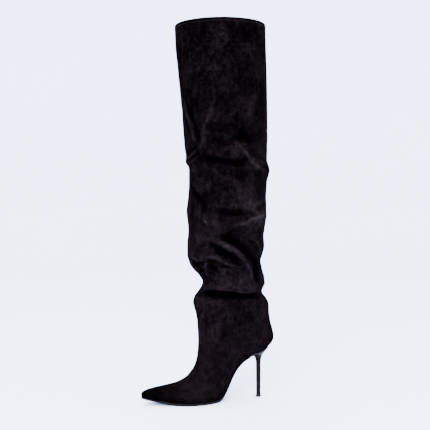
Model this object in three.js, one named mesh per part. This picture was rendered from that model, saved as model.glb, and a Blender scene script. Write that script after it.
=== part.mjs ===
// A right-foot over-the-knee boot on a stiletto heel, in millimetres, +Z up.
// The toe points along -Y and the inner side of the foot is +X.
// Inside the functions a point is given as across (towards the inner side), ahead (towards the toe,
// counted from the axis of the heel stem) and up.
import * as THREE from "three";

// Foot sizes
const bootLength = 234; // level length, back of the counter to tip of the toe
const counterOverhang = 27.8; // back of the counter behind the axis of the heel stem
const seatSetback = 17; // back of the heel seat behind the same axis
const heelHeight = 91; // floor to the back of the heel seat
const ballWidth = 76;
const toeTipRadius = 6;
const heelSeatRadius = 26;
const toeSpring = 11.5;
const ankleRise = 68.5; // back of the heel seat up to the ankle

// Shaft sizes
const shaftHeight = 477; // ankle to the front of the collar
const collarDepth = 156; // front to back across the opening
const collarWidth = 138;
const collarLean = 22; // middle of the collar ahead of the middle of the ankle
const ankleWidth = 90;

// Walls and plates
const upperWall = 2;
const soleThickness = 2.8;
const soleLip = 0.8; // how far the sole's edge stands proud of the upper
const soleBevel = 0.9;
const insoleThickness = 2.5;
const seatGap = 0.3; // between pieces that rest on each other

// Heel sizes
const heelBreast = 21; // front of the heel seat ahead of the stem's axis
const stemTopWidth = 9.4;
const stemFootWidth = 7.8;
const stemDepthShare = 0.94; // front to back against side to side
const topPieceHeight = 5.5;
const topPieceWidth = 8.8;
const topPieceBevel = 0.5;

// Mesh fineness
const ringPoints = 48; // even, so that the two sides of a ring face each other
const heelPoints = 30;

const toeTip = bootLength - counterOverhang; // ahead of the stem's axis
const seatLength = toeTip + seatSetback;
const ankleHeight = heelHeight + ankleRise;

// Underside of the sole along its length: ahead as a share of the boot's length, height of the heel.
// It stands flat on the floor between the last two rows.
const undersideRows = [
  { ahead: -0.073, height: 0.957 },
  { ahead: 0.0, height: 0.892 },
  { ahead: 0.064, height: 0.838 },
  { ahead: 0.101, height: 0.79 },
  { ahead: 0.138, height: 0.724 },
  { ahead: 0.179, height: 0.613 },
  { ahead: 0.214, height: 0.464 },
  { ahead: 0.246, height: 0.293 },
  { ahead: 0.277, height: 0.142 },
  { ahead: 0.306, height: 0.047 },
  { ahead: 0.339, height: 0.009 },
  { ahead: 0.382, height: 0.0 },
  { ahead: 0.585, height: 0.0 },
];
const toeRollStart = 0.585 * bootLength;
const toeRollPower = 1.5;

// Plan of the sole: station as a share of the seat's length from the toe tip to the heel, and the
// inner and outer edge as shares of the ball's width.
const planRows = [
  { station: 0.0, inner: 0.155, outer: 0.013 },
  { station: 0.063, inner: 0.214, outer: 0.092 },
  { station: 0.116, inner: 0.268, outer: 0.162 },
  { station: 0.183, inner: 0.342, outer: 0.255 },
  { station: 0.25, inner: 0.409, outer: 0.342 },
  { station: 0.317, inner: 0.462, outer: 0.42 },
  { station: 0.375, inner: 0.487, outer: 0.47 },
  { station: 0.429, inner: 0.482, outer: 0.49 },
  { station: 0.496, inner: 0.437, outer: 0.462 },
  { station: 0.563, inner: 0.357, outer: 0.402 },
  { station: 0.63, inner: 0.287, outer: 0.348 },
  { station: 0.696, inner: 0.259, outer: 0.318 },
  { station: 0.786, inner: 0.292, outer: 0.325 },
  { station: 0.875, inner: 0.334, outer: 0.342 },
  { station: 1.0, inner: 0.336, outer: 0.336 },
];

// Where the points of a foot ring lie. turn is a share of the half turn from toe to heel and place is
// the share that the point stands at, so that the points crowd where the sole bends most.
const crowdRows = [
  { turn: 0.0, place: 0.0 },
  { turn: 0.167, place: 0.15 },
  { turn: 0.396, place: 0.47 },
  { turn: 0.6875, place: 0.64 },
  { turn: 1.0, place: 1.0 },
];

// Rings of the foot, from the seam with the sole up to the ankle. Ahead and behind are shares of the
// boot's length from the stem's axis; the rises are shares of the height from the sole's seam to the
// ankle; oval goes from the sole's plan to a plain oval; follow is how much of the sole's arch the ring
// still has, and width a share of the ball's width at follow 1 and of the ankle's at follow 0.
const footRows = [
  { ahead: 0.8812, rise: 0.0, behind: 0.0726, heelRise: 0.0, width: 0.968, oval: 0.0, follow: 1.0 },
  { ahead: 0.8843, rise: 0.021, behind: 0.093, heelRise: 0.055, width: 1.018, oval: 0.0, follow: 1.0 },
  { ahead: 0.8812, rise: 0.043, behind: 0.106, heelRise: 0.115, width: 1.042, oval: 0.03, follow: 0.99 },
  { ahead: 0.8525, rise: 0.0675, behind: 0.112, heelRise: 0.175, width: 1.04, oval: 0.1, follow: 0.98 },
  { ahead: 0.7927, rise: 0.0905, behind: 0.1135, heelRise: 0.235, width: 1.018, oval: 0.24, follow: 0.97 },
  { ahead: 0.7158, rise: 0.107, behind: 0.1125, heelRise: 0.295, width: 0.991, oval: 0.42, follow: 0.95 },
  { ahead: 0.6346, rise: 0.1265, behind: 0.109, heelRise: 0.36, width: 0.962, oval: 0.62, follow: 0.92 },
  { ahead: 0.5598, rise: 0.176, behind: 0.1045, heelRise: 0.425, width: 0.938, oval: 0.8, follow: 0.87 },
  { ahead: 0.5128, rise: 0.248, behind: 0.0985, heelRise: 0.49, width: 0.926, oval: 0.93, follow: 0.8 },
  { ahead: 0.4838, rise: 0.323, behind: 0.093, heelRise: 0.555, width: 0.925, oval: 1.0, follow: 0.71 },
  { ahead: 0.4684, rise: 0.408, behind: 0.088, heelRise: 0.625, width: 0.931, oval: 1.0, follow: 0.6 },
  { ahead: 0.4607, rise: 0.505, behind: 0.084, heelRise: 0.695, width: 0.945, oval: 1.0, follow: 0.48 },
  { ahead: 0.4581, rise: 0.608, behind: 0.08, heelRise: 0.765, width: 0.961, oval: 1.0, follow: 0.36 },
  { ahead: 0.4607, rise: 0.718, behind: 0.077, heelRise: 0.84, width: 0.974, oval: 1.0, follow: 0.24 },
  { ahead: 0.465, rise: 0.83, behind: 0.0755, heelRise: 0.915, width: 0.986, oval: 1.0, follow: 0.13 },
  { ahead: 0.4752, rise: 0.926, behind: 0.075, heelRise: 0.99, width: 1.001, oval: 1.0, follow: 0.05 },
];

// Rings of the shaft above the ankle: rise and backRise as shares of the shaft's height; depth and
// width as shares of a plain taper from the ankle to the collar; shift ahead of that taper's middle, as
// a share of the collar's depth. steps is how many rings lead up to the row.
const shaftRows = [
  { rise: 0.0, backRise: 0.014, depth: 1.014, shift: 0.0138, width: 1.004, steps: 1 },
  { rise: 0.017, backRise: 0.027, depth: 0.998, shift: 0.0287, width: 1.014, steps: 1 },
  { rise: 0.037, backRise: 0.042, depth: 0.94, shift: 0.0322, width: 0.995, steps: 1 },
  { rise: 0.056, backRise: 0.057, depth: 0.87, shift: 0.0138, width: 0.96, steps: 1 },
  { rise: 0.073, backRise: 0.072, depth: 0.828, shift: -0.0098, width: 0.974, steps: 1 },
  { rise: 0.089, backRise: 0.088, depth: 0.819, shift: -0.0225, width: 1.025, steps: 1 },
  { rise: 0.11, backRise: 0.107, depth: 0.857, shift: -0.0101, width: 1.094, steps: 1 },
  { rise: 0.134, backRise: 0.13, depth: 0.91, shift: 0.0294, width: 1.159, steps: 1 },
  { rise: 0.157, backRise: 0.151, depth: 0.945, shift: 0.0548, width: 1.2, steps: 1 },
  { rise: 0.18, backRise: 0.173, depth: 0.963, shift: 0.0614, width: 1.214, steps: 1 },
  { rise: 0.219, backRise: 0.213, depth: 0.974, shift: 0.052, width: 1.214, steps: 2 },
  { rise: 0.277, backRise: 0.271, depth: 0.972, shift: 0.028, width: 1.181, steps: 3 },
  { rise: 0.339, backRise: 0.333, depth: 0.996, shift: 0.0232, width: 1.158, steps: 4 },
  { rise: 0.384, backRise: 0.378, depth: 0.979, shift: 0.0065, width: 1.143, steps: 3 },
  { rise: 0.436, backRise: 0.43, depth: 0.955, shift: -0.0072, width: 1.117, steps: 2 },
  { rise: 0.494, backRise: 0.488, depth: 0.95, shift: -0.0159, width: 1.098, steps: 3 },
  { rise: 0.519, backRise: 0.514, depth: 0.984, shift: -0.0017, width: 1.095, steps: 1 },
  { rise: 0.539, backRise: 0.535, depth: 0.98, shift: -0.0075, width: 1.09, steps: 1 },
  { rise: 0.581, backRise: 0.577, depth: 0.993, shift: -0.007, width: 1.086, steps: 2 },
  { rise: 0.657, backRise: 0.653, depth: 1.0, shift: -0.0078, width: 1.071, steps: 2 },
  { rise: 0.736, backRise: 0.733, depth: 1.003, shift: -0.0076, width: 1.054, steps: 2 },
  { rise: 0.835, backRise: 0.835, depth: 1.01, shift: -0.0033, width: 1.038, steps: 2 },
  { rise: 0.922, backRise: 0.925, depth: 1.013, shift: 0.0032, width: 1.021, steps: 1 },
  { rise: 1.0, backRise: 1.008, depth: 1.0, shift: 0.0016, width: 1.0, steps: 1 },
];

// Folds of the slouched shaft. Each runs round the shaft between two turns, in degrees from the toe
// over the inner side, and two heights, as shares of the shaft's height above the ankle. bow lifts
// its middle, push moves the wall out (or in, where negative) and spread is its half breadth; the
// three are shares of the shaft's height too.
const foldRows = [
  // ankle trough, inner
  { from: 8, to: 170, low: 0.057, high: 0.054, bow: 0.0, push: -0.017, spread: 0.015 },
  // ankle trough, outer
  { from: 192, to: 350, low: 0.062, high: 0.04, bow: 0.014, push: -0.015, spread: 0.016 },
  // roll above the ankle, inner
  { from: 24, to: 168, low: 0.105, high: 0.086, bow: -0.006, push: 0.01, spread: 0.017 },
  // roll above the ankle, outer
  { from: 200, to: 340, low: 0.086, high: 0.104, bow: 0.01, push: 0.01, spread: 0.018 },
  // pocket by the front notch
  { from: 12, to: 70, low: 0.134, high: 0.13, bow: 0.0, push: -0.01, spread: 0.016 },
  // front lap
  { from: 14, to: 84, low: 0.18, high: 0.166, bow: 0.004, push: 0.009, spread: 0.018 },
  // slouch roll, inner
  { from: 46, to: 128, low: 0.236, high: 0.148, bow: 0.018, push: 0.015, spread: 0.021 },
  // hollow over the slouch roll
  { from: 64, to: 160, low: 0.27, high: 0.19, bow: 0.014, push: -0.015, spread: 0.024 },
  // back roll, inner
  { from: 100, to: 158, low: 0.17, high: 0.14, bow: 0.0, push: 0.01, spread: 0.024 },
  // back pinch
  { from: 134, to: 224, low: 0.152, high: 0.158, bow: 0.0, push: -0.011, spread: 0.024 },
  // calf ridge, inner
  { from: 72, to: 170, low: 0.282, high: 0.33, bow: 0.004, push: 0.012, spread: 0.023 },
  // calf hollow, inner
  { from: 20, to: 124, low: 0.372, high: 0.352, bow: 0.004, push: -0.012, spread: 0.024 },
  // knob trough, inner
  { from: 22, to: 134, low: 0.524, high: 0.506, bow: 0.004, push: -0.014, spread: 0.021 },
  // lap over the knob trough
  { from: 40, to: 112, low: 0.566, high: 0.572, bow: 0.006, push: 0.008, spread: 0.024 },
  // long ridge to the back
  { from: 96, to: 186, low: 0.56, high: 0.47, bow: -0.01, push: 0.012, spread: 0.024 },
  // hollow over the long ridge
  { from: 84, to: 156, low: 0.62, high: 0.57, bow: 0.0, push: -0.01, spread: 0.03 },
  // knee crease
  { from: 10, to: 56, low: 0.66, high: 0.58, bow: 0.01, push: -0.008, spread: 0.026 },
  // calf swell, outer
  { from: 214, to: 346, low: 0.29, high: 0.33, bow: -0.02, push: 0.014, spread: 0.03 },
  // slouch hollow, outer
  { from: 230, to: 346, low: 0.168, high: 0.158, bow: -0.004, push: -0.014, spread: 0.022 },
  // slouch ridge, outer
  { from: 214, to: 350, low: 0.222, high: 0.196, bow: 0.012, push: 0.012, spread: 0.02 },
  // back hollow
  { from: 160, to: 240, low: 0.272, high: 0.256, bow: 0.0, push: -0.01, spread: 0.024 },
  // knee hollow, outer
  { from: 222, to: 340, low: 0.53, high: 0.55, bow: -0.01, push: -0.012, spread: 0.026 },
  // knee ridge, outer
  { from: 210, to: 322, low: 0.6, high: 0.49, bow: 0.01, push: 0.009, spread: 0.028 },
  // thigh hollow, outer
  { from: 236, to: 340, low: 0.76, high: 0.7, bow: 0.02, push: -0.008, spread: 0.045 },
  // thigh swell, inner
  { from: 40, to: 150, low: 0.84, high: 0.78, bow: 0.0, push: 0.006, spread: 0.06 },
];
const foldEndShare = 0.4; // share of a fold's run over which each end fades

// How the heel draws in below the seat: in goes from 0 at the seat's outline to 1 at the stem, and drop
// is the distance below the seat as a share of the heel's height.
const heelRows = [
  { in: 0.0, drop: 0.0 },
  { in: 0.03, drop: 0.022 },
  { in: 0.16, drop: 0.044 },
  { in: 0.36, drop: 0.067 },
  { in: 0.58, drop: 0.094 },
  { in: 0.76, drop: 0.128 },
  { in: 0.89, drop: 0.168 },
  { in: 0.96, drop: 0.21 },
  { in: 1.0, drop: 0.27 },
  { in: 1.0, drop: 0.5 },
];
const seatCapShare = 0.5; // where the ring inside the seat's top lies, as a share of its outline

// A smooth curve through one named column of a table, with no overshoot between rows.
function curve(rows, key, column) {
  const x = rows.map((row) => row[key]);
  const y = rows.map((row) => row[column]);
  const last = x.length - 1;
  const rate = x.slice(1).map((value, i) => (y[i + 1] - y[i]) / (value - x[i]));
  const slope = y.map((_, i) => {
    if (i === 0) return rate[0];
    if (i === last) return rate[last - 1];
    if (rate[i - 1] * rate[i] <= 0) return 0;
    return (2 * rate[i - 1] * rate[i]) / (rate[i - 1] + rate[i]);
  });
  return (at) => {
    if (at <= x[0]) return y[0];
    if (at >= x[last]) return y[last];
    const i = x.findIndex((value) => value > at) - 1;
    const width = x[i + 1] - x[i];
    const t = (at - x[i]) / width;
    return (
      y[i] * (1 + 2 * t) * (1 - t) ** 2 +
      slope[i] * width * t * (1 - t) ** 2 +
      y[i + 1] * t * t * (3 - 2 * t) +
      slope[i + 1] * width * t * t * (t - 1)
    );
  };
}

const undersideShare = curve(undersideRows, "ahead", "height");
const innerShare = curve(planRows, "station", "inner");
const outerShare = curve(planRows, "station", "outer");
const crowded = curve(crowdRows, "turn", "place");

const widestHalf = Math.max(...planRows.map((row) => ((row.inner + row.outer) * ballWidth) / 2));
const ankle = footRows[footRows.length - 1];
const ankleFront = ankle.ahead * bootLength;
const ankleBack = -ankle.behind * bootLength;

// Height of the sole's underside.
function underside(ahead) {
  const roll = Math.max(0, (ahead - toeRollStart) / (toeTip - toeRollStart));
  return undersideShare(ahead / bootLength) * heelHeight + toeSpring * roll ** toeRollPower;
}

// Height of a surface that lies a given distance above the sole's underside, square to it.
function above(ahead, distance) {
  const reach = 1;
  const slope = (underside(ahead + reach) - underside(ahead - reach)) / (2 * reach);
  return underside(ahead) + distance * Math.hypot(1, slope);
}

// The surface that carries the upper and the insole: the sole's top and the heel's seat.
function seat(ahead) {
  return above(ahead, soleThickness);
}

// Foot of the upper and underside of the insole.
function seam(ahead) {
  return above(ahead, soleThickness + seatGap);
}

// Share of full width left by a round end of the given radius, at a distance from the end.
function roundEnd(distance, radius) {
  const d = Math.min(1, Math.max(0, distance / radius));
  return Math.sqrt(1 - (1 - d) ** 2);
}

// Half breadth of the sole's plan and its middle line, at a station from toe tip (0) to heel (1).
function plan(station) {
  const inner = innerShare(station) * ballWidth;
  const outer = outerShare(station) * ballWidth;
  const toe = roundEnd(station * seatLength, toeTipRadius);
  const heel = roundEnd((1 - station) * seatLength, heelSeatRadius);
  return { half: ((inner + outer) / 2) * toe * heel, middle: (inner - outer) / 2 };
}

// Angle of a ring's point, from the toe over the inner side. gather is 1 for the crowded points of the
// foot and 0 for the even points of the shaft.
function ringAngle(j, gather) {
  const half = ringPoints / 2;
  const turn = Math.min(j, ringPoints - j) / half;
  const shifted = turn + (crowded(turn) - turn) * gather;
  return (j <= half ? shifted : 2 - shifted) * Math.PI;
}

// A point in the part's frame.
function place(across, ahead, up) {
  return new THREE.Vector3(across, -ahead, up);
}

// A closed mesh from points and faces of three or four corners.
function meshOf(name, points, faces, material) {
  const geometry = new THREE.BufferGeometry();
  const triangles = faces.flatMap((f) => (f.length === 4 ? [f[0], f[1], f[2], f[0], f[2], f[3]] : f));
  geometry.setAttribute("position", new THREE.Float32BufferAttribute(points.flatMap((p) => p.toArray()), 3));
  geometry.setIndex(triangles);
  geometry.computeVertexNormals();
  const mesh = new THREE.Mesh(geometry, material);
  mesh.name = name;
  return mesh;
}

// Faces of a wall between two closed rings of the same number of points, counted from two starts.
function band(lower, upper, count) {
  return Array.from({ length: count }, (_, j) => {
    const next = (j + 1) % count;
    return [lower + j, lower + next, upper + next, upper + j];
  });
}

// How far the folds move the wall out at a turn (degrees) and a height above the ankle (share).
function foldPush(turn, rise) {
  return foldRows.reduce((sum, fold) => {
    const span = fold.to - fold.from;
    const run = (((turn - fold.from) % 360) + 360) % 360;
    if (run > span) return sum;
    const share = run / span;
    const fade = Math.min(1, share / foldEndShare, (1 - share) / foldEndShare);
    const line = fold.low + (fold.high - fold.low) * share + fold.bow * 4 * share * (1 - share);
    const off = (rise - line) / fold.spread;
    return sum + fold.push * shaftHeight * fade * fade * (3 - 2 * fade) * Math.exp(-off * off);
  }, 0);
}

// One ring round the foot.
function footRing(row) {
  const ahead = row.ahead * bootLength;
  const behind = -row.behind * bootLength;
  const seamFront = seam(toeTip);
  const seamBack = seam(-seatSetback);
  const frontUp = seamFront + row.rise * (ankleHeight - seamFront);
  const backUp = seamBack + row.heelRise * (ankleHeight - seamBack);
  const clamp = (at) => Math.min(toeTip, Math.max(-seatSetback, at));
  const archFront = seam(clamp(ahead));
  const archBack = seam(clamp(behind));
  const breadth = ballWidth * row.follow + ankleWidth * (1 - row.follow);
  return Array.from({ length: ringPoints }, (_, j) => {
    const angle = ringAngle(j, row.follow);
    const station = (1 - Math.cos(angle)) / 2;
    const at = ahead + (behind - ahead) * station;
    const { half, middle } = plan(station);
    const oval = Math.abs(Math.sin(angle));
    const share = (1 - row.oval) * (half / widestHalf) + row.oval * oval;
    const across = middle * (1 - row.oval) + (Math.sign(Math.sin(angle)) * share * row.width * breadth) / 2;
    const arch = seam(clamp(at)) - (archFront + (archBack - archFront) * station);
    const line = frontUp + (backUp - frontUp) * station;
    return place(across, at, line + row.follow * arch);
  });
}

// One ring round the shaft, before its folds.
function shaftRing(row) {
  const mix = (low, high) => low + (high - low) * row.rise;
  const depth = row.depth * mix(ankleFront - ankleBack, collarDepth);
  const width = row.width * mix(ankleWidth, collarWidth);
  const middle = (ankleFront + ankleBack) / 2 + row.rise * collarLean + row.shift * collarDepth;
  return Array.from({ length: ringPoints }, (_, j) => {
    const angle = ringAngle(j, 0);
    const station = (1 - Math.cos(angle)) / 2;
    const rise = row.rise + (row.backRise - row.rise) * station;
    const ahead = middle + (Math.cos(angle) * depth) / 2;
    return place((Math.sin(angle) * width) / 2, ahead, ankleHeight + rise * shaftHeight);
  });
}

// All rings of the upper's outer face, from the sole's seam to the collar.
function upperRings() {
  const indexed = shaftRows.map((row, index) => ({ ...row, index }));
  const columns = ["rise", "backRise", "depth", "shift", "width"];
  const through = Object.fromEntries(columns.map((c) => [c, curve(indexed, "index", c)]));
  const rows = indexed.flatMap(({ index, steps }) =>
    Array.from({ length: steps }, (_, k) => {
      const at = index === 0 ? 0 : index - 1 + (k + 1) / steps;
      return Object.fromEntries(columns.map((c) => [c, through[c](at)]));
    }),
  );
  const shaft = rows.map((row) =>
    shaftRing(row).map((point, j) => {
      const angle = ringAngle(j, 0);
      const rise = (point.z - ankleHeight) / shaftHeight;
      const push = foldPush(THREE.MathUtils.radToDeg(angle), rise);
      const out = new THREE.Vector3(Math.sin(angle) * collarDepth, -Math.cos(angle) * collarWidth, 0);
      return point.addScaledVector(out.normalize(), push);
    }),
  );
  return [...footRows.map(footRing), ...shaft];
}

// A closed ring in plan moved inwards by a distance (outwards where negative).
function inset(ring, distance) {
  return ring.map((point, j) => {
    const before = ring[(j + ring.length - 1) % ring.length];
    const after = ring[(j + 1) % ring.length];
    const inwards = new THREE.Vector3(before.y - after.y, after.x - before.x, 0).normalize();
    return point.clone().addScaledVector(inwards, distance);
  });
}

// Point of an outline at a distance ahead, on the inner side (1) or the outer side (-1). Past the
// outline's ends there is none.
function onSide(outline, side, ahead) {
  const half = outline.length / 2;
  const points = side > 0 ? outline.slice(0, half + 1) : [outline[0], ...outline.slice(half).reverse()];
  const k = points.findIndex((point) => -point.y < ahead);
  if (k <= 0) return null;
  const share = (-ahead - points[k - 1].y) / (points[k].y - points[k - 1].y);
  return points[k - 1].clone().lerp(points[k], share);
}

// A ring in plan given its height at each point.
function level(ring, up) {
  return ring.map((point) => new THREE.Vector3(point.x, point.y, up(-point.y)));
}

// The inner face: each outer point moved in by the wall. The first and last rings stay level with
// the outer ones, so that the seam and the collar have a plain edge.
function innerRings(outer) {
  const last = outer.length - 1;
  const half = ringPoints / 2;
  const rings = outer.map((ring, i) =>
    ring.map((point, j) => {
      const before = ring[(j + ringPoints - 1) % ringPoints];
      const after = ring[(j + 1) % ringPoints];
      const lower = outer[Math.max(0, i - 1)][j];
      const upper = outer[Math.min(last, i + 1)][j];
      const round = new THREE.Vector3().subVectors(after, before);
      const rising = new THREE.Vector3().subVectors(upper, lower);
      const out = round.cross(rising);
      if (i === last) out.z = 0;
      return point.clone().addScaledVector(out.normalize(), -upperWall);
    }),
  );
  const edge = inset(outer[0], upperWall);
  const shared = outer[0].map((point, j) => onSide(edge, j <= half ? 1 : -1, -point.y) ?? edge[j]);
  rings[0] = level(shared, seam);
  return rings;
}

function makeUpper(outer, inner, material) {
  const count = outer.length;
  const points = [...outer.flat(), ...inner.flat()];
  const outerStart = (i) => i * ringPoints;
  const innerStart = (i) => (count + i) * ringPoints;
  const faces = [];
  for (let i = 0; i < count - 1; i += 1) {
    faces.push(...band(outerStart(i), outerStart(i + 1), ringPoints));
    faces.push(...band(innerStart(i + 1), innerStart(i), ringPoints));
  }
  faces.push(...band(innerStart(0), outerStart(0), ringPoints));
  faces.push(...band(outerStart(count - 1), innerStart(count - 1), ringPoints));
  return meshOf("upper", points, faces, material);
}

// A plate between a top and a bottom ring, whose points face each other from side to side.
function makePlate(name, top, bottom, material) {
  const count = top.length;
  const faces = band(count, 0, count);
  for (let j = 0; j < Math.floor(count / 2); j += 1) {
    const left = (count - j) % count;
    const quad = [j, j + 1, count - j - 1, left];
    const corners = quad.filter((corner, k) => quad.indexOf(corner) === k);
    faces.push(corners);
    faces.push(corners.map((corner) => corner + count).reverse());
  }
  return meshOf(name, [...top, ...bottom], faces, material);
}

// Distances ahead at which the sole, the upper's seam and the insole all bend.
function bendLines(seamRing) {
  return seamRing.slice(1, ringPoints / 2).map((point) => -point.y);
}

// The outsole, from the toe tip to the heel's breast: the upper's own seam, a lip wider.
function makeOutsole(seamRing, material) {
  const breast = heelBreast + seatGap;
  const lines = bendLines(seamRing).filter((ahead) => ahead > breast + 1);
  lines.push(breast);
  const section = (distance) => {
    const outline = inset(seamRing, distance);
    const sides = [1, -1].map((side) => lines.map((ahead) => onSide(outline, side, ahead)));
    return [outline[0], ...sides[0], ...sides[1].reverse()];
  };
  const top = level(section(-soleLip), seat);
  return makePlate("outsole", top, level(section(soleBevel - soleLip), underside), material);
}

// The insole, inside the foot of the upper.
function makeInsole(seamRing, innerSeam, material) {
  const outline = inset(innerSeam, seatGap);
  const tip = outline[0];
  const heel = outline[ringPoints / 2];
  const lines = bendLines(seamRing).filter((ahead) => ahead < -tip.y - 0.5 && ahead > -heel.y + 0.5);
  const sides = [1, -1].map((side) => lines.map((ahead) => onSide(outline, side, ahead)));
  const ring = [tip, ...sides[0], heel, ...sides[1].reverse()];
  const top = (ahead) => above(ahead, soleThickness + seatGap + insoleThickness);
  return makePlate("insole", level(ring, top), level(ring, seam), material);
}

// Distance from the stem's axis to the edge of the heel seat, along a direction in plan.
function seatReach(direction) {
  const onSeat = (reach) => {
    const ahead = direction.y * reach;
    const across = direction.x * reach;
    const station = (toeTip - ahead) / seatLength;
    if (ahead > heelBreast || station > 1) return false;
    const { half, middle } = plan(station);
    return Math.abs(across - middle) < half;
  };
  let low = 0;
  let high = seatLength;
  for (let i = 0; i < 30; i += 1) {
    const middle = (low + high) / 2;
    if (onSeat(middle)) low = middle;
    else high = middle;
  }
  return low;
}

// The heel: a shallow seat that draws in to a slim stem.
function makeHeel(material) {
  const stemFoot = topPieceHeight + seatGap;
  const directions = Array.from({ length: heelPoints }, (_, j) => {
    const angle = (j / heelPoints) * 2 * Math.PI;
    return new THREE.Vector2(Math.sin(angle), Math.cos(angle));
  });
  const reaches = directions.map(seatReach);
  const stemWidth = (up) => {
    const share = (up - stemFoot) / (heelHeight - stemFoot);
    return stemFootWidth + (stemTopWidth - stemFootWidth) * Math.max(0, share);
  };
  const ringAt = (drawn, drop) =>
    directions.map((direction, j) => {
      const seatX = direction.x * reaches[j];
      const seatY = direction.y * reaches[j];
      const up = seat(seatY * (1 - drawn)) - drop;
      const stemHalf = stemWidth(up) / 2;
      const stemX = direction.x * stemHalf;
      const stemY = direction.y * stemHalf * stemDepthShare;
      return place(seatX + (stemX - seatX) * drawn, seatY + (stemY - seatY) * drawn, up);
    });
  const rings = [
    ringAt(1, seat(0) - stemFoot),
    ...heelRows.map((row) => ringAt(row.in, row.drop * heelHeight)).reverse(),
  ];
  const cap = directions.map((direction, j) => {
    const reach = reaches[j] * seatCapShare;
    return place(direction.x * reach, direction.y * reach, seat(direction.y * reach));
  });
  rings.push(cap);
  const points = [...rings.flat(), place(0, 0, stemFoot), place(0, 0, seat(0))];
  const footCentre = points.length - 2;
  const seatCentre = points.length - 1;
  const faces = [];
  for (let i = 0; i < rings.length - 1; i += 1) {
    faces.push(...band(i * heelPoints, (i + 1) * heelPoints, heelPoints));
  }
  const top = (rings.length - 1) * heelPoints;
  for (let j = 0; j < heelPoints; j += 1) {
    const next = (j + 1) % heelPoints;
    faces.push([footCentre, next, j], [seatCentre, top + j, top + next]);
  }
  return meshOf("heel", points, faces, material);
}

function makeTopPiece(material) {
  const radius = topPieceWidth / 2;
  const profile = [
    new THREE.Vector2(0, 0),
    new THREE.Vector2(radius - topPieceBevel, 0),
    new THREE.Vector2(radius, topPieceBevel),
    new THREE.Vector2(radius, topPieceHeight - topPieceBevel),
    new THREE.Vector2(radius - topPieceBevel, topPieceHeight),
    new THREE.Vector2(0, topPieceHeight),
  ];
  const geometry = new THREE.LatheGeometry(profile, heelPoints);
  geometry.rotateX(Math.PI / 2);
  const mesh = new THREE.Mesh(geometry, material);
  mesh.name = "heel_top_piece";
  return mesh;
}

const finishes = {
  suede: new THREE.MeshStandardMaterial({ color: 0x1a171a, roughness: 0.95, metalness: 0 }),
  lining: new THREE.MeshStandardMaterial({ color: 0x2a2628, roughness: 0.85, metalness: 0 }),
  sole: new THREE.MeshStandardMaterial({ color: 0x161517, roughness: 0.55, metalness: 0 }),
  lacquer: new THREE.MeshStandardMaterial({ color: 0x17161a, roughness: 0.25, metalness: 0 }),
  rubber: new THREE.MeshStandardMaterial({ color: 0x121212, roughness: 0.8, metalness: 0 }),
};

const outerFace = upperRings();
const innerFace = innerRings(outerFace);
const boot = new THREE.Group();
boot.add(
  makeUpper(outerFace, innerFace, finishes.suede),
  makeInsole(outerFace[0], innerFace[0], finishes.lining),
  makeOutsole(outerFace[0], finishes.sole),
  makeHeel(finishes.lacquer),
  makeTopPiece(finishes.rubber),
);

// The origin is the middle of the boot's own box, on the floor.
const extent = new THREE.Box3().setFromObject(boot, true);
const middle = extent.getCenter(new THREE.Vector3());
boot.position.set(-middle.x, -middle.y, -extent.min.z);

export default boot;
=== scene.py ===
"""An over-the-knee boot in black suede on a stiletto heel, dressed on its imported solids.

Sizes are in metres. In the classes below a place on the boot is given as across (towards the inner
side of the foot), ahead (towards the toe, counted from the axis of the heel stem) and up.
"""
import logging
import math
from dataclasses import dataclass, field, fields
from enum import Enum
from typing import Sequence

import bmesh
import bpy
import numpy as np
from mathutils import Matrix, Vector, noise


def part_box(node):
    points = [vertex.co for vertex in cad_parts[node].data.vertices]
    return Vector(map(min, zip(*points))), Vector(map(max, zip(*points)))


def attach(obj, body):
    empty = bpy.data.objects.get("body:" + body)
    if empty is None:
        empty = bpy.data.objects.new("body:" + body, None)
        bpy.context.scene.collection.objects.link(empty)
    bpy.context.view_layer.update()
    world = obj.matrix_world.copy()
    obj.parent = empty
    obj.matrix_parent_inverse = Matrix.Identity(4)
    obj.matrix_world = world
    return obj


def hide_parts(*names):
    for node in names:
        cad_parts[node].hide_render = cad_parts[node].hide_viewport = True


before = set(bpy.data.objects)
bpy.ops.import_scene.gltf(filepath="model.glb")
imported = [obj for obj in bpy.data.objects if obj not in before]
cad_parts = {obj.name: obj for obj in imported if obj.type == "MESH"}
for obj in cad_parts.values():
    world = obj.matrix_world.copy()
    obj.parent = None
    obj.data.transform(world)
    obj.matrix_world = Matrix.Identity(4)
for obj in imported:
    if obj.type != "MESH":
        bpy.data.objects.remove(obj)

log = logging.getLogger("boot")
MM = 0.001
MERGE_DISTANCE = 1e-6
Point = tuple[float, float]
Colour = tuple[float, float, float]
Socket = bpy.types.NodeSocket


@dataclass(frozen=True)
class BootSizes:
    """Named sizes of the boot, the same as those of its solids, but with a slightly thinner upper wall."""

    boot_length: float = 0.234
    counter_overhang: float = 0.0278
    seat_setback: float = 0.017
    heel_height: float = 0.091
    ball_width: float = 0.076
    toe_tip_radius: float = 0.006
    heel_seat_radius: float = 0.026
    toe_spring: float = 0.0115
    ankle_rise: float = 0.0685
    shaft_height: float = 0.477
    collar_depth: float = 0.156
    collar_width: float = 0.138
    collar_lean: float = 0.022
    ankle_width: float = 0.090
    upper_wall: float = 0.0018
    sole_thickness: float = 0.0028
    seat_gap: float = 0.0003

    @property
    def toe_tip(self) -> float:
        """Toe tip ahead of the stem's axis."""
        return self.boot_length - self.counter_overhang

    @property
    def seat_length(self) -> float:
        """Length of the sole's plan, from the toe tip to the back of the heel seat."""
        return self.toe_tip + self.seat_setback

    @property
    def ankle_height(self) -> float:
        """Height of the ankle over the floor."""
        return self.heel_height + self.ankle_rise


@dataclass(frozen=True)
class SoleRow:
    """Underside of the sole: ahead as a share of the boot's length, height of the heel's."""

    ahead: float
    height: float


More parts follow.
